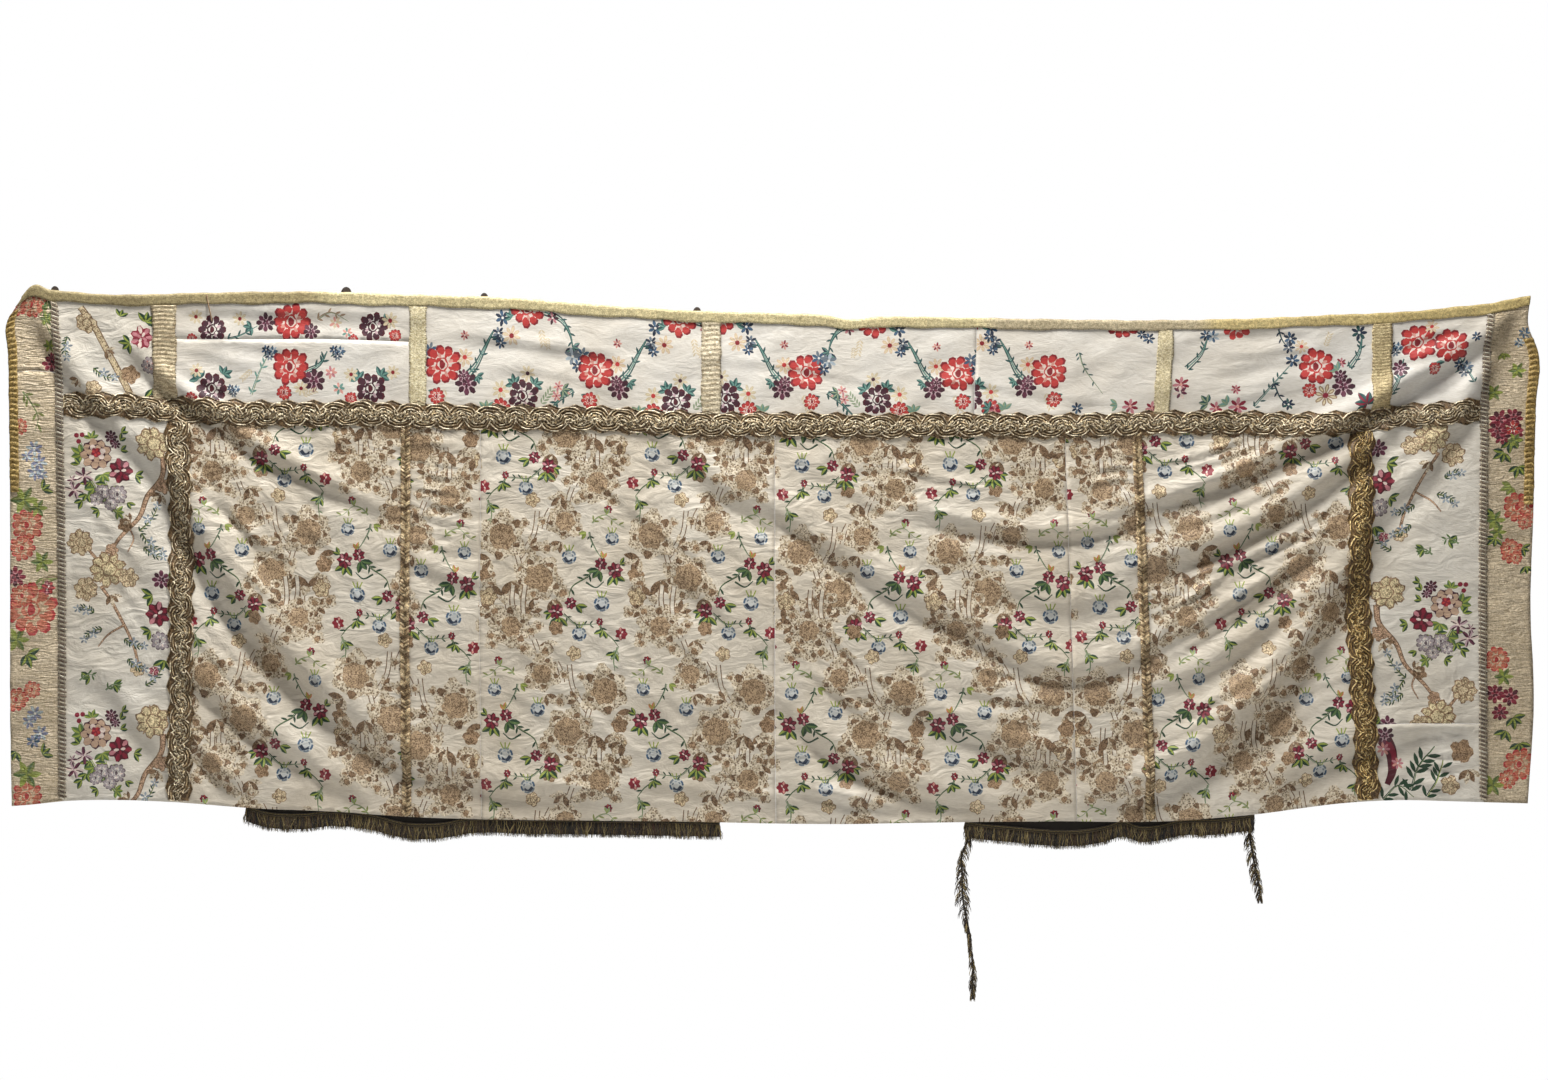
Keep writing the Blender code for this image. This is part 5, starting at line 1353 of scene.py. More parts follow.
class Threads:
    """Collects thin threads as three-sided tubes, then makes one object of them."""

    def __init__(self):
        self.points, self.triangles, self.shades, self.count = [], [], [], 0

    def tube(self, line, width, height, colour, taper=False):
        """A thread along a line of points; colour is one colour or one for each step."""
        line = np.asarray(line, float)
        steps = len(line)
        ahead = np.gradient(line, axis=0)
        side = np.stack([ahead[:, 2], np.zeros(steps), -ahead[:, 0]], axis=1)
        side /= np.maximum(np.linalg.norm(side, axis=1), 1e-9)[:, None]
        size = np.ones(steps)
        if taper:
            size[-1] = 0.25
        half = side * (width / 2 * size)[:, None]
        front = np.zeros((steps, 3))
        front[:, 1] = -height * size
        ring = np.stack([line - half, line + front, line + half], axis=1).reshape(-1, 3)
        base = self.count
        i = np.arange(steps - 1)[:, None] * 3
        faces = []
        for k in range(3):
            a, b = i + k, i + (k + 1) % 3
            faces += [np.hstack([a, a + 3, b]), np.hstack([b, a + 3, b + 3])]
        ends = [[0, 1, 2], [(steps - 1) * 3 + 2, (steps - 1) * 3 + 1, (steps - 1) * 3]]
        tones = np.broadcast_to(np.asarray(colour, float), (steps - 1, 3))
        self.points.append(ring)
        self.triangles.append(np.vstack([*faces, np.array(ends)]) + base)
        self.shades.append(np.vstack([*([tones] * 6), tones[:1], tones[-1:]]))
        self.count += len(ring)

    def patch(self, grid, colour):
        """A sheet of points in rows and columns; colour is one colour or one for each cell."""
        rows, columns = grid.shape[:2]
        index = np.arange(rows * columns).reshape(rows, columns) + self.count
        a, b, c, d = index[:-1, :-1], index[1:, :-1], index[1:, 1:], index[:-1, 1:]
        one = np.stack([a, b, c], axis=-1).reshape(-1, 3)
        two = np.stack([a, c, d], axis=-1).reshape(-1, 3)
        self.points.append(grid.reshape(-1, 3))
        self.triangles.append(np.vstack([one, two]))
        colour = np.asarray(colour, float)
        cells = np.broadcast_to(colour, ((rows - 1), (columns - 1), 3)).reshape(-1, 3)
        self.shades.append(np.vstack([cells, cells]))
        self.count += rows * columns

    def object(self, name, made):
        points, triangles = np.vstack(self.points), np.vstack(self.triangles)
        return mesh_object(name, points, triangles, [made], np.vstack(self.shades))


def finish_piece(obj, slot_name, *nodes):
    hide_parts(*nodes)
    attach(obj, "root")


def strip_grid(path, half, relief, across):
    """A strip's front face: path gives (u, v) rows, half its half width, relief its extra height."""
    path = np.asarray(path, float)
    ahead = np.gradient(path, axis=0)
    ahead /= np.linalg.norm(ahead, axis=1)[:, None]
    side = np.stack([-ahead[:, 1], ahead[:, 0]], axis=1)
    share = np.linspace(-1, 1, across + 1)
    half = np.broadcast_to(half, (len(path),))
    places = path[:, None, :] + side[:, None, :] * (half[:, None] * share[None, :])[..., None]
    out = TRIM_LIFT + relief(path, share)
    return hang(np.clip(places[..., 0], 0, WIDTH), np.clip(places[..., 1], 0, DROP), out)


def twisted(steps, light, dark, phase=0):
    """Colours of a twisted thread's steps, light and dark by turns."""
    turn = (np.arange(steps) + phase) % 3 == 0
    return np.where(turn[:, None], dark, light)


def lace(name, start, end, made, bright):
    """A wide metal lace: fans of twisted threads on a dark net, with small spangles."""
    chance = np.random.default_rng(int(1000 * (start[0] + end[1])))
    start, end = np.array(start), np.array(end)
    length = np.linalg.norm(end - start)
    ahead = (end - start) / length
    side = np.array([-ahead[1], ahead[0]])
    repeats = round(length / SCALLOP_PITCH)
    pitch = length / repeats
    light, mid, dark = (np.array(linear(c)) for c in ("#fbf2dc", "#cdbb9b", "#6b5840"))
    if bright:
        light, mid = np.array(linear("#f2dba2")), np.array(linear("#b3955f"))

    def half_width(s):
        return LACE_HALF + FAN_REACH - 1.3 * SCALLOP_DEPTH * np.abs(np.cos(s / pitch * math.pi)) ** 1.4

    def place(s, across, out):
        wander = 0.0010 * np.sin(s * 17 + start[0] * 5) + 0.0006 * np.sin(s * 43)
        places = start + ahead * np.asarray(s)[..., None] + side * np.asarray(across + wander)[..., None]
        return hang(np.clip(places[..., 0], 0, WIDTH), np.clip(places[..., 1], 0, DROP), out)

    s = np.linspace(0, length, repeats * 12 + 1)
    share = np.linspace(-1, 1, 9)
    net_reach = half_width(s)[:, None] * 0.95 * share
    grid = place(s[:, None] + 0 * share, net_reach, TRIM_LIFT + 0.0004 * (1 - share**2))
    ground = Threads()
    ground.patch(grid[:, ::-1], dark * chance.uniform(0.8, 1.5, (len(s) - 1, 8, 1)))
    base = ground.object("net_" + name, made)
    thicken(base, TRIM_THICK)
    threads = Threads()
    for k in range(repeats):
        for sign in (-1, 1):
            middle = pitch * (k + 0.5 + sign * 0.25) + chance.uniform(-0.003, 0.003)
            wide = pitch * chance.uniform(0.56, 0.68)
            for ring, f in enumerate(FAN_RINGS):
                angle = np.linspace(0.05, math.pi - 0.05, 11)
                along = np.clip(middle + wide * f * np.cos(angle) + 0.0012 * np.sin(5 * angle + k), 0, length)
                reach = (half_width(middle) + FAN_FOOT) * f * chance.uniform(0.93, 1.0)
                across = sign * (reach * np.sin(angle) - FAN_FOOT + 0.0008 * np.cos(6 * angle + ring))
                out = TRIM_LIFT + 0.0006 + 0.0009 * (1 + np.cos(angle + sign)) / 2 + 0.0003 * ring
                colour = (light, mid, light, mid, light)[ring] * chance.uniform(0.65, 1.10)
                tones = twisted(len(angle) - 1, colour, mid * 0.45, k + ring)
                threads.tube(place(along, across, out), 0.0025, 0.0020, tones)
        for step in range(4):
            along = np.clip(pitch * (k + step / 4) + np.linspace(-0.008, 0.012, 5), 0, length)
            middle = chance.uniform(-0.010, 0.010)
            across = middle + chance.choice((-1, 1)) * np.linspace(-0.0045, 0.0045, 5)
            out = TRIM_LIFT + 0.0016 + 0.0008 * np.sin(np.linspace(0, 3.1, 5))
            threads.tube(place(along, across, out), 0.0024, 0.0016, twisted(4, light, dark, k + step))
    # Edge threads along both sides, darkened to 0.6 of the lace's colours: painted shade, a shadow line along
    # the lace's edges.
    for sign in (-1, 1):
        edge = sign * (half_width(s) - 0.0006)
        tones = twisted(len(s) - 1, mid * 0.6, dark * 0.6)
        threads.tube(place(s, edge, TRIM_LIFT + 0.0004), 0.0016, 0.0012, tones)
    for _ in range(int(length / SPANGLE_SPACING[bright])):
        at = chance.uniform(0.01, length - 0.01)
        centre = place(at, chance.uniform(-0.75, 0.75) * (LACE_HALF - SCALLOP_DEPTH), TRIM_LIFT + 0.0030)
        size = chance.uniform(0.0010, 0.0019)
        turn = chance.uniform(0, 6.3)
        tilt = chance.uniform(-0.5, 0.5)
        corners = [
            centre + size * np.array([math.cos(turn + a), tilt * math.cos(a), math.sin(turn + a)])
            for a in (0.0, 1.57, 3.14, 4.71)
        ]
        threads.patch(np.array([[corners[0], corners[1]], [corners[3], corners[2]]]), linear("#fbe9bd"))
    return base, threads.object("lace_" + name, made)


def weave_strip(name, path, half, colours, made, ribs, rib_height, seed, stitches=True):
    """A woven or gathered braid: ribs across it, uneven sides and dark stitches along both edges."""
    chance = np.random.default_rng(seed)
    path = np.asarray(path, float)
    run = np.concatenate([[0], np.cumsum(np.linalg.norm(np.diff(path, axis=0), axis=1))])
    uneven = half * (1 + 0.05 * np.sin(run * 90 + seed) + 0.04 * np.sin(run * 210 + seed))
    phase = run * 2 * math.pi / ribs

    def relief(_, share):
        wave = np.sin(phase[:, None] + 0.7 * np.sin(share * 3 + seed)[None, :])
        edge = 1 - 0.5 * share[None, :] ** 4
        return rib_height * (0.5 + 0.5 * wave) * edge + 0.0003

    grid = strip_grid(path, uneven, relief, BRAID_CELLS)
    first, second = (np.array(linear(c)) for c in colours)
    mix = chance.uniform(0, 1, (len(path) - 1, BRAID_CELLS, 1)) ** 1.3
    threads = Threads()
    threads.patch(grid, first * (1 - mix) + second * mix)
    obj = threads.object("braid_" + name, made)
    if obj.data.polygons[0].normal.y > 0:
        obj.data.flip_normals()
    thicken(obj, TRIM_THICK)
    pieces = [obj]
    if stitches:
        sewn = Threads()
        ahead = np.gradient(path, axis=0)
        ahead /= np.linalg.norm(ahead, axis=1)[:, None]
        side = np.stack([-ahead[:, 1], ahead[:, 0]], axis=1)
        step = max(2, round(STITCH_SPACING / (run[-1] / (len(path) - 1))))
        for k in range(1, len(path) - 1, step):
            for sign in (-1, 1):
                a = path[k] + side[k] * sign * (half - 0.0020)
                b = path[k] + side[k] * sign * (half + 0.0006) + ahead[k] * chance.uniform(-0.001, 0.002)
                pair = np.clip(np.array([a, b]), (0, 0), (WIDTH, DROP))
                line = hang(pair[:, 0], pair[:, 1], np.array([TRIM_LIFT + rib_height + 0.0002, TRIM_LIFT]))
                sewn.tube(line, 0.0008, 0.0006, linear("#4b3d2f"))
        pieces.append(sewn.object("stitches_" + name, made))
    return pieces


def plait(name, u, top, foot, half, made, seed):
    """A narrow plait: slanting stitches that meet down its middle."""
    chance = np.random.default_rng(seed)
    threads = Threads()
    tones = [linear(c) for c in ("#a08c6e", "#c9b898", "#7d6a52", "#dccdae")]
    for k in range(int((foot - top) / PLAIT_PITCH)):
        v = top + PLAIT_PITCH * (k + 0.5)
        for sign in (-1, 1):
            outer = half * chance.uniform(0.86, 1.06)
            us = u + sign * np.array([outer, outer * 0.55, -0.0006])
            down = v + np.array([-0.0024, 0.0004, 0.0036]) + chance.uniform(-0.0005, 0.0005)
            out = TRIM_LIFT + np.array([0.0002, 0.0012, 0.0008]) + 0.0003 * (sign > 0)
            line = hang(us, np.clip(down, 0, DROP), out)
            threads.tube(line, 0.0034, 0.0013, tones[int(chance.integers(0, 4))])
    steps = max(4, int((foot - top) / 0.012))
    path = [(u, top + (foot - top) * k / steps) for k in range(steps + 1)]
    ground = strip_grid(path, half * 0.92, lambda p, s: np.full((len(p), len(s)), -0.0004), 4)
    threads.patch(ground[:, ::-1], linear("#85725a"))
    return threads.object("plait_" + name, made)


def ladder(name, u, top, foot, half, made, seed):
    """An edge braid of short threads laid across it, like the rungs of a ladder."""
    chance = np.random.default_rng(seed)
    threads = Threads()
    tones = [linear(c) for c in ("#e3d6bd", "#6f5c4c", "#efe6d2", "#8a7662")]
    for k in range(int((foot - top) / LADDER_PITCH)):
        v = top + LADDER_PITCH * (k + 0.5) + chance.uniform(-0.0004, 0.0004)
        reach = half * chance.uniform(0.80, 1.12, 2)
        us = np.array([u - reach[0], u - half * 0.3, u + half * 0.3, u + reach[1]])
        down = v + np.array([-0.0022, -0.0008, 0.0008, 0.0022]) + chance.uniform(-0.0006, 0.0006, 4)
        out = TRIM_LIFT + np.array([-0.0004, 0.0008, 0.0008, -0.0004])
        line = hang(np.clip(us, 0, WIDTH), np.clip(down, 0, DROP), out)
        threads.tube(line, 0.0029, 0.0014, tones[k % 2 + (2 if chance.uniform() > 0.7 else 0)])
    for sign in (-0.62, 0.62):
        steps = int((foot - top) / 0.010)
        vs = np.linspace(top, foot, steps)
        line = hang(u + sign * half + 0 * vs, vs, TRIM_LIFT + 0.0012 + 0 * vs)
        threads.tube(line, 0.0010, 0.0008, linear("#b3a387"))
    return threads.object("ladder_" + name, made)


# Fringe rows: place across the cloth, how far the heading hangs below the hem
FRINGE_L = (
    (0.437, -0.004),
    (0.470, 0.004),
    (0.540, 0.006),
    (0.595, -0.002),
    (0.665, 0.000),
    (0.730, 0.011),
    (0.790, 0.009),
    (0.845, -0.002),
    (0.960, -0.003),
    (1.306, -0.002),
)
FRINGE_R = (
    (1.7480, -0.002),
    (1.7750, 0.003),
    (1.8220, 0.008),
    (1.8790, 0.014),
    (1.9360, 0.017),
    (1.9750, 0.013),
    (2.0120, 0.004),
    (2.0270, -0.002),
    (2.0620, 0.008),
    (2.1000, 0.006),
    (2.1350, -0.001),
    (2.2000, 0.002),
    (2.2750, 0.000),
)
# Tail rows: height, place across, half width
TAIL_L = (
    (-0.925, 0.364, 0.006),
    (-0.963, 0.364, 0.007),
    (-0.993, 0.353, 0.010),
    (-1.032, 0.353, 0.013),
    (-1.076, 0.355, 0.014),
    (-1.105, 0.360, 0.006),
    (-1.140, 0.367, 0.004),
    (-1.164, 0.369, 0.004),
    (-1.201, 0.373, 0.008),
    (-1.238, 0.372, 0.006),
    (-1.258, 0.373, 0.003),
)
TAIL_R = (
    (-0.915, 0.879, 0.006),
    (-0.950, 0.880, 0.010),
    (-0.985, 0.886, 0.011),
    (-1.019, 0.892, 0.010),
    (-1.048, 0.898, 0.008),
    (-1.078, 0.902, 0.003),
)
TAIL_LEVELS = 120
TAIL_STRANDS, TAIL_LENGTH = 520, 0.34  # how many strands a tail of this length has
FRINGE_DEPTH = 0.034
FRINGE_SPACING = 0.0011
FRINGE_LAYERS = (0.0013, 0.0002, -0.0010)
FRINGE_BEHIND = 0.0040  # how far behind the hem the strands hang
SHADE_SHEET_REACH = 0.020  # how far up behind the hem the dark sheet of painted shade may go
FRINGE_TONES = ("#1d150e", "#2d2217", "#4a3a24", "#6b5834", "#9a8650", "#5c3d28", "#bda870")
FRINGE_ODDS = (0.16, 0.16, 0.16, 0.18, 0.15, 0.09, 0.10)


def fringe_tone(chance):
    return linear(FRINGE_TONES[int(chance.choice(len(FRINGE_TONES), p=FRINGE_ODDS))])


def hem_fringe(name, table, made, seed):
    """Twisted strands that hang from a braided heading behind the hem, over a dark sheet of painted shade."""
    chance = np.random.default_rng(seed)
    start, end = table[0][0], table[-1][0]
    threads = Threads()

    def heading(u):
        droop = smooth_table([r[0] for r in table], [r[1] for r in table], u)
        hem = hang(u, np.full_like(u, DROP))
        behind = np.maximum(hem[:, 1], hang(u, np.full_like(u, DROP - 0.006))[:, 1]) + FRINGE_BEHIND
        return hem[:, 0], behind, hem[:, 2] - droop, np.clip(droop, 0, SHADE_SHEET_REACH)

    count = int((end - start) / FRINGE_SPACING)
    for layer in FRINGE_LAYERS:
        us = np.sort(chance.uniform(start + 0.0004, end - 0.0004, count))
        x, y, z, _ = heading(us)
        for k in range(count):
            sway = 0.0050 * np.sin(us[k] * 140 + layer * 900) + chance.uniform(-0.0040, 0.0040)
            length = FRINGE_DEPTH * chance.uniform(0.93, 1.06)
            bow = chance.uniform(-0.0028, 0.0028)
            drop = np.array([0.002, 0.35, 0.7, 1.0]) * length
            side = np.array([0, sway * 0.3 + bow, sway * 0.7 - bow, sway])
            depth = y[k] + layer + np.array([0, 0.3, 0.7, 1.0]) * chance.uniform(-0.0012, 0.0012)
            line = np.stack([x[k] + side, depth, z[k] - drop], axis=1)
            threads.tube(line, chance.uniform(0.0008, 0.0015), 0.0008, fringe_tone(chance), taper=True)
    steps = int((end - start) / 0.003)
    us = np.linspace(start, end, steps)
    x, y, z, shade_rise = heading(us)
    for k in range(4):
        ripple = 0.0006 * np.sin(us * 900 + k * 1.6)
        line = np.stack([x, y - 0.0018 + 0 * us, z - 0.0008 - 0.0016 * k + ripple], axis=1)
        threads.tube(line, 0.0018, 0.0010, linear(("#3a2e1c", "#7d6c3d", "#2a2015", "#5a4b2a")[k]))
    # A dark sheet behind the strands, from up behind the hem down to near their ends: painted shade between
    # the strands and in the gap behind the hem.
    foot = np.stack([x, y + 0.0010, z - FRINGE_DEPTH * 0.86], axis=1)
    back = np.stack([x, y + 0.0010, z + shade_rise], axis=1)
    threads.patch(np.stack([back, foot], axis=0).transpose(1, 0, 2), linear("#20180f"))
    return threads.object("strands_" + name, made)


def tail_fringe(name, table, made, seed):
    """A torn strip of fringe that hangs down, its strands falling to both sides."""
    chance = np.random.default_rng(seed)
    low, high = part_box(name)
    middle = (low[1] + high[1]) / 2
    heights = [-row[0] for row in table]
    levels = np.linspace(heights[0], heights[-1], TAIL_LEVELS)
    centres = smooth_table(heights, [row[1] for row in table], levels)
    widths = smooth_table(heights, [row[2] for row in table], levels)
    threads = Threads()
    for k in range(3):
        twist = 0.0011 * np.sin(levels * 420 + k * 2.1)
        turn = 0.0008 * np.cos(levels * 420 + k * 2.1)
        line = np.stack([centres + twist, middle + turn, -levels], axis=1)
        threads.tube(line, 0.0020, 0.0014, linear(("#2b2116", "#4d3f24", "#1b140e")[k]))
    for _ in range(int(TAIL_STRANDS * (heights[-1] - heights[0]) / TAIL_LENGTH)):
        at = chance.uniform(heights[0], heights[-1] - 0.004)
        centre = np.interp(at, levels, centres)
        reach = np.interp(at, levels, widths) * chance.uniform(0.3, 1.05)
        sign = chance.choice((-1, 1))
        fall = min(chance.uniform(0.010, 0.026), heights[-1] - at + 0.004)
        share = np.array([0, 0.4, 0.75, 1.0])
        line = np.stack(
            [
                centre + sign * reach * np.array([0, 0.65, 0.95, 1.0]),
                middle + chance.uniform(-0.0016, 0.0016) * share,
                -at - fall * share,
            ],
            axis=1,
        )
        threads.tube(line, chance.uniform(0.0008, 0.0015), 0.0008, fringe_tone(chance), taper=True)
    return threads.object("strands_" + name, made)


def binding(made):
    """The bound top edge: a woven braid folded over it, uneven and sewn along its lower side."""
    chance = np.random.default_rng(9)
    us = np.linspace(0, WIDTH, BINDING_COLUMNS)
    lift = 0.0006 * np.sin(us * 60) + 0.0005 * np.sin(us * 143)
    depth = BINDING_DEPTH + 0.0012 * np.sin(us * 31) + 0.0008 * np.sin(us * 87)
    rows = []
    for share, out in (
        (1.0, 0.0012), (0.96, 0.0023), (0.75, 0.0027), (0.5, 0.0024), (0.25, 0.0027), (0.03, 0.0025),
    ):
        rows.append(hang(us, depth * share, out + 0.3 * np.abs(lift)))
    edge = hang(us, 0 * us)
    for back, up in ((-0.0016, 0.0020), (0.0000, 0.0030), (0.0022, 0.0028), (0.0040, 0.0014)):
        rows.append(edge + np.stack([0 * us, back + 0 * us, up + lift * 0.8], axis=1))
    for share in (0.4, 1.0):
        behind = hang(us, depth * share)
        behind[:, 1] += 0.0044
        rows.append(behind)
    grid = np.stack(rows, axis=1)
    places = [0.0, 0.55, 0.60, 1.78, 1.82, 2.18, 2.22, 2.80]
    tones = ("#aa9d77", "#aa9d77", "#d6cba2", "#d6cba2", "#c8bca0", "#c8bca0", "#d6c590", "#d1be84")
    channels = np.array([linear(t) for t in tones]).T
    along = np.stack([np.interp(us[:-1], places, channel) for channel in channels], axis=1)
    mix = chance.uniform(0.78, 1.12, (BINDING_COLUMNS - 1, grid.shape[1] - 1, 1))
    threads = Threads()
    threads.patch(grid, along[:, None, :] * mix)
    obj = threads.object("bound_edge", made)
    if obj.data.polygons[0].normal.y > 0:
        obj.data.flip_normals()
    thicken(obj, BINDING_THICK)
    sewn = Threads()
    for k in range(4, BINDING_COLUMNS - 4, 2):
        pair = hang(us[k] + np.array([0, 0.0022]), depth[k] + np.array([-0.0016, 0.0006]), 0.0024)
        sewn.tube(pair, 0.0007, 0.0005, linear("#6f6142"))
    return obj, sewn.object("stitches_binding", made)


def straight(u, top, foot):
    count = max(3, int((foot - top) / STRIP_STEP))
    return [(u, top + (foot - top) * k / (count - 1)) for k in range(count)]


def scallop_clear(side):
    """How far from the lace's centre line a trim that meets it starts."""
    return LACE_CENTRE + side * (LACE_HALF - SCALLOP_DEPTH * 0.4)


def build_trims():
    lace_thread = metal_material("metal_lace", (0.52, 0.46, 0.40), (1.64, 1.54, 1.40), 210, 0.15, 0.42)
    braid_thread = metal_material("metal_braid", (0.74, 0.68, 0.60), (1.20, 1.17, 1.10), 330, 0.15, 0.50, 1.2)
    gimp_thread = metal_material("gathered_silk", (0.62, 0.56, 0.44), (1.15, 1.12, 1.0), 380, 0.05, 0.60, 0.6)
    edge_thread = thread_material("edge_thread")
    fringe_thread = thread_material("fringe_strand", 0.8, 0.1)
    for name, start, end, bright in (
        ("cross_lace", (EDGE_L + 0.008, LACE_CENTRE), (EDGE_R - 0.008, LACE_CENTRE), False),
        ("side_lace_left", (FIELD_SEAMS[0], LACE_CENTRE + LACE_HALF), (FIELD_SEAMS[0], TRIM_FOOT), False),
        ("side_lace_right", (FIELD_SEAMS[6], LACE_CENTRE + LACE_HALF), (FIELD_SEAMS[6], TRIM_FOOT), True),
    ):
        base, over = lace(name, start, end, lace_thread, bright)
        finish_piece(base, "gold_lace", name)
        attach(over, "root")
    galloons = (
        ("galloon_a", 0.290, 0.021, ("#a8977b", "#e8dcbf"), 0.0075, 0.0012, "gold_lace"),
        ("galloon_b", 0.754, 0.0155, ("#cdc19c", "#f0ead0"), 0.0036, 0.0006, "pale_galloon"),
        ("galloon_c", 1.292, 0.018, ("#b8aa90", "#efe7d2"), 0.0090, 0.0009, "gold_lace"),
        ("galloon_d", 2.126, 0.0145, ("#cabd99", "#eee5c8"), 0.0036, 0.0006, "pale_galloon"),
        ("galloon_e", 2.522, 0.0175, ("#b09e78", "#e4d5ab"), 0.0060, 0.0010, "gold_lace"),
    )
    for k, (name, u, half, colours, ribs, height, slot_name) in enumerate(galloons):
        path = straight(u, BINDING_DEPTH + SEAM_GAP, scallop_clear(-1))
        for piece in weave_strip(name, path, half, colours, braid_thread, ribs, height, k + 1):
            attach(piece, "root")
            if piece.name.startswith("braid_"):
                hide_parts(name)
    plaits = (("field_braid_left", FIELD_SEAMS[1]), ("field_braid_right", FIELD_SEAMS[5]))
    for k, (name, u) in enumerate(plaits):
        made = plait(name, u, scallop_clear(1), TRIM_FOOT, PLAIT_HALF, lace_thread, k + 31)
        finish_piece(made, "gold_lace", name)
    for k, (name, u) in enumerate((("ladder_braid_left", EDGE_L), ("ladder_braid_right", EDGE_R))):
        made = ladder(name, u, BINDING_DEPTH + 0.001, TRIM_FOOT, LADDER_HALF, edge_thread, k + 41)
        finish_piece(made, "gold_lace", name)
    for k, (name, u, top, foot) in enumerate(
        (("gimp_left", GIMP_INSET, 0.030, 0.360), ("gimp_right", WIDTH - GIMP_INSET, 0.075, 0.380))
    ):
        path = straight(u, top, foot)
        colours = ("#8f7336", "#dcc283")
        given = (colours, gimp_thread, 0.0100, 0.0034, k + 51)
        pieces = weave_strip(name, path, GIMP_HALF, *given, stitches=False)
        finish_piece(pieces[0], "yellow_gimp", name)
    bound, sewn = binding(braid_thread)
    finish_piece(bound, "pale_galloon", "top_binding")
    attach(sewn, "root")
    for name, table, seed in (("fringe_left", FRINGE_L, 61), ("fringe_right", FRINGE_R, 67)):
        finish_piece(hem_fringe(name, table, fringe_thread, seed), "fringe_thread", name)
    for name, table, seed in (("fringe_tail_left", TAIL_L, 71), ("fringe_tail_right", TAIL_R, 73)):
        finish_piece(tail_fringe(name, table, fringe_thread, seed), "fringe_thread", name)
    tie = Threads()
    share = np.linspace(0, 1, 14)
    line = hang(0.368 + 0.009 * share, 0.0006 + 0.0454 * share, 0.0036 + 0.0006 * np.sin(share * 9))
    tie.tube(line, 0.0026, 0.0014, linear("#a5835b"))
    finish_piece(tie.object("thin_tie", edge_thread), "pale_galloon", "loose_tie")
    tape = thread_material("tape_weave")
    tape.node_tree.nodes.remove(next(n for n in tape.node_tree.nodes if n.type == "VERTEX_COLOR"))
    for mix in [n for n in tape.node_tree.nodes if n.type == "MIX"]:
        mix.inputs["A"].default_value = (*linear("#4a3d36"), 1)
    for name in ("tab_a", "tab_b", "tab_c", "tab_d"):
        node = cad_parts[name]
        node.data.materials.clear()
        node.data.materials.append(tape)


def build_panels():
    front = silk_material("silk_weave", 0.52, 0.25)
    smooth = silk_material("silk_smooth", 0.52, 0.25, crumple=0.22)
    lame = metal_material("lame_weave", (0.40, 0.33, 0.26), (1.32, 1.27, 1.18), 230, 0.10, 0.45, 1.6)
    dots = dotted_material("dotted_weave")
    back = silk_material("silk_back", 0.65, 0.15, 0.55)
    edge_front = metal_material("edge_lame", (0.76, 0.70, 0.60), (1.08, 1.05, 1.0), 300, 0.05, 0.50, 1.0)
    shader = next(n for n in edge_front.node_tree.nodes if n.type == "BSDF_PRINCIPLED")
    bump(edge_front.node_tree, shader, noise(edge_front.node_tree, 80, 3, 1.6, (0.35, 1, 2.0)), 0.012, 0.9)
    shapes = patterns()
    for name, left, right, upper, lower, ground in PANELS:
        materials = [smooth if ground == "frontlet" else front, lame, dots, back]
        if ground == "edge":
            materials[0] = edge_front
        obj = panel_mesh(name, left, right, upper, lower, ground, shapes[name], materials)
        finish_piece(obj, ground + "_silk", name)


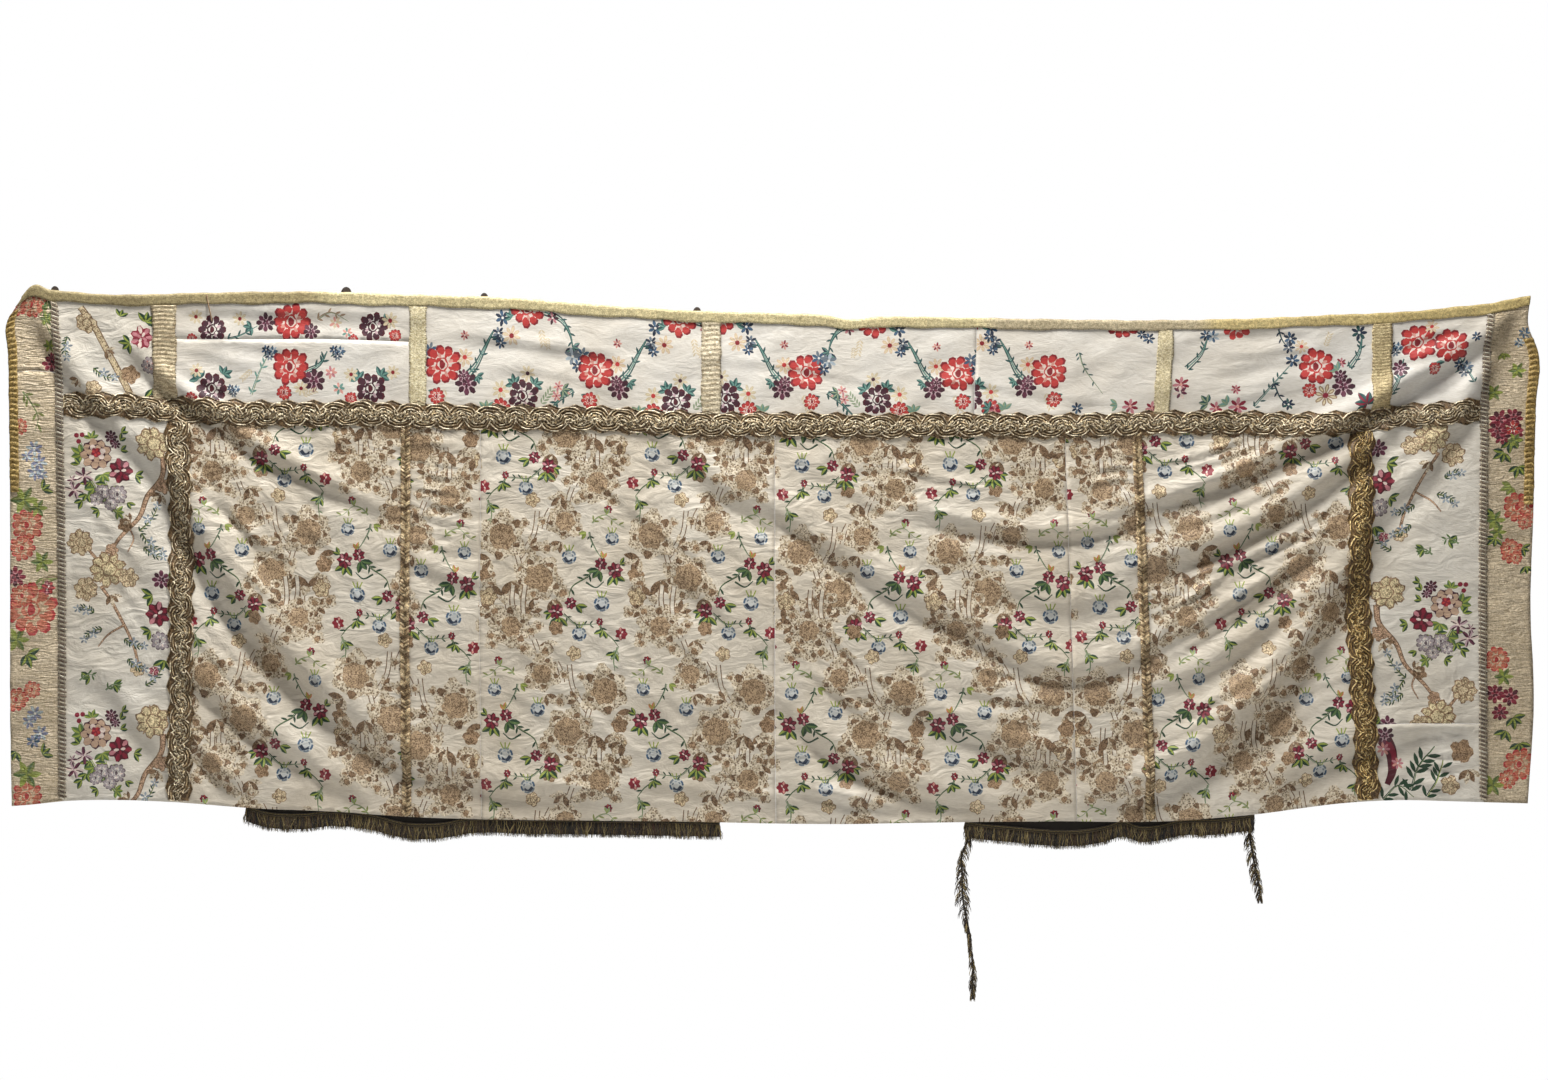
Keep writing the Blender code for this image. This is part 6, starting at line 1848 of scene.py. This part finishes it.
def build_stage():
    """A pale floor, soft light from above on a white ground, and the camera."""
    mesh = bpy.data.meshes.new("floor")
    corners = [(-7.0, -7.0), (7.0, -7.0), (7.0, 2.2), (-7.0, 2.2)]
    mesh.from_pydata([(x, y, FLOOR_HEIGHT) for x, y in corners], [], [(0, 1, 2, 3)])
    made, _, shader = new_material("pale_floor")
    shader.inputs["Base Color"].default_value = (0.90, 0.90, 0.89, 1)
    shader.inputs["Roughness"].default_value = 0.9
    mesh.materials.append(made)
    floor = bpy.data.objects.new("floor", mesh)
    bpy.context.scene.collection.objects.link(floor)
    for name, place, aim, size, power, warmth in (
        ("key", (-0.5, -0.85, 2.25), (0.0, 0.0, -0.55), (2.6, 0.35), 163, (1.0, 1.0, 0.98)),
        ("fill", (1.2, -4.8, 0.2), (0.0, 0.0, -0.5), (2.6, 2.6), 7, (0.97, 0.98, 1.0)),
        ("back", (0.0, 3.4, 2.7), (0.0, 0.0, -0.5), (3.6, 2.0), 70, (1.0, 1.0, 1.0)),
    ):
        lamp = bpy.data.lights.new(name, "AREA")
        lamp.shape = "RECTANGLE"
        lamp.size, lamp.size_y = size
        lamp.energy, lamp.color = power, warmth
        obj = bpy.data.objects.new(name, lamp)
        obj.location = place
        obj.rotation_euler = (Vector(aim) - Vector(place)).to_track_quat("-Z", "Y").to_euler()
        bpy.context.scene.collection.objects.link(obj)
    world = bpy.data.worlds.new("studio")
    world.use_nodes = True
    nodes, links = world.node_tree.nodes, world.node_tree.links
    dim = nodes["Background"]
    dim.inputs["Color"].default_value = (0.95, 0.97, 1.0, 1)
    dim.inputs["Strength"].default_value = 0.12
    white = nodes.new("ShaderNodeBackground")
    white.inputs["Color"].default_value = (1.0, 1.0, 1.0, 1)
    both = nodes.new("ShaderNodeMixShader")
    links.new(nodes.new("ShaderNodeLightPath").outputs["Is Camera Ray"], both.inputs[0])
    links.new(dim.outputs[0], both.inputs[1])
    links.new(white.outputs[0], both.inputs[2])
    links.new(both.outputs[0], nodes["World Output"].inputs["Surface"])
    bpy.context.scene.world = world
    bpy.context.scene.view_settings.view_transform = "Standard"
    camera = bpy.data.cameras.new("camera")
    camera.sensor_width = SENSOR_WIDTH
    camera.lens = SENSOR_WIDTH * (CAMERA_DISTANCE - 0.02) / (PICTURE_WIDTH * UNIT)
    obj = bpy.data.objects.new("camera", camera)
    across, height = PICTURE_WIDTH / 2 - ORIGIN_X, ORIGIN_Y - PICTURE_HEIGHT / 2
    obj.location = (across * UNIT, -CAMERA_DISTANCE, height * UNIT)
    obj.rotation_euler = (math.pi / 2, 0, 0)
    bpy.context.scene.collection.objects.link(obj)
    bpy.context.scene.camera = obj


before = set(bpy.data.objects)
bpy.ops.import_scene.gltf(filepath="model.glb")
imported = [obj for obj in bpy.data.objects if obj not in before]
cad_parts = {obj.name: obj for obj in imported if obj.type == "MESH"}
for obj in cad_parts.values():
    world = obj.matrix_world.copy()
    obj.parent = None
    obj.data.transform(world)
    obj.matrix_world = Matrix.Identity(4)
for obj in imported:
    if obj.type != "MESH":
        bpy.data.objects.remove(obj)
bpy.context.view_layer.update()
build_stage()
build_panels()
build_trims()
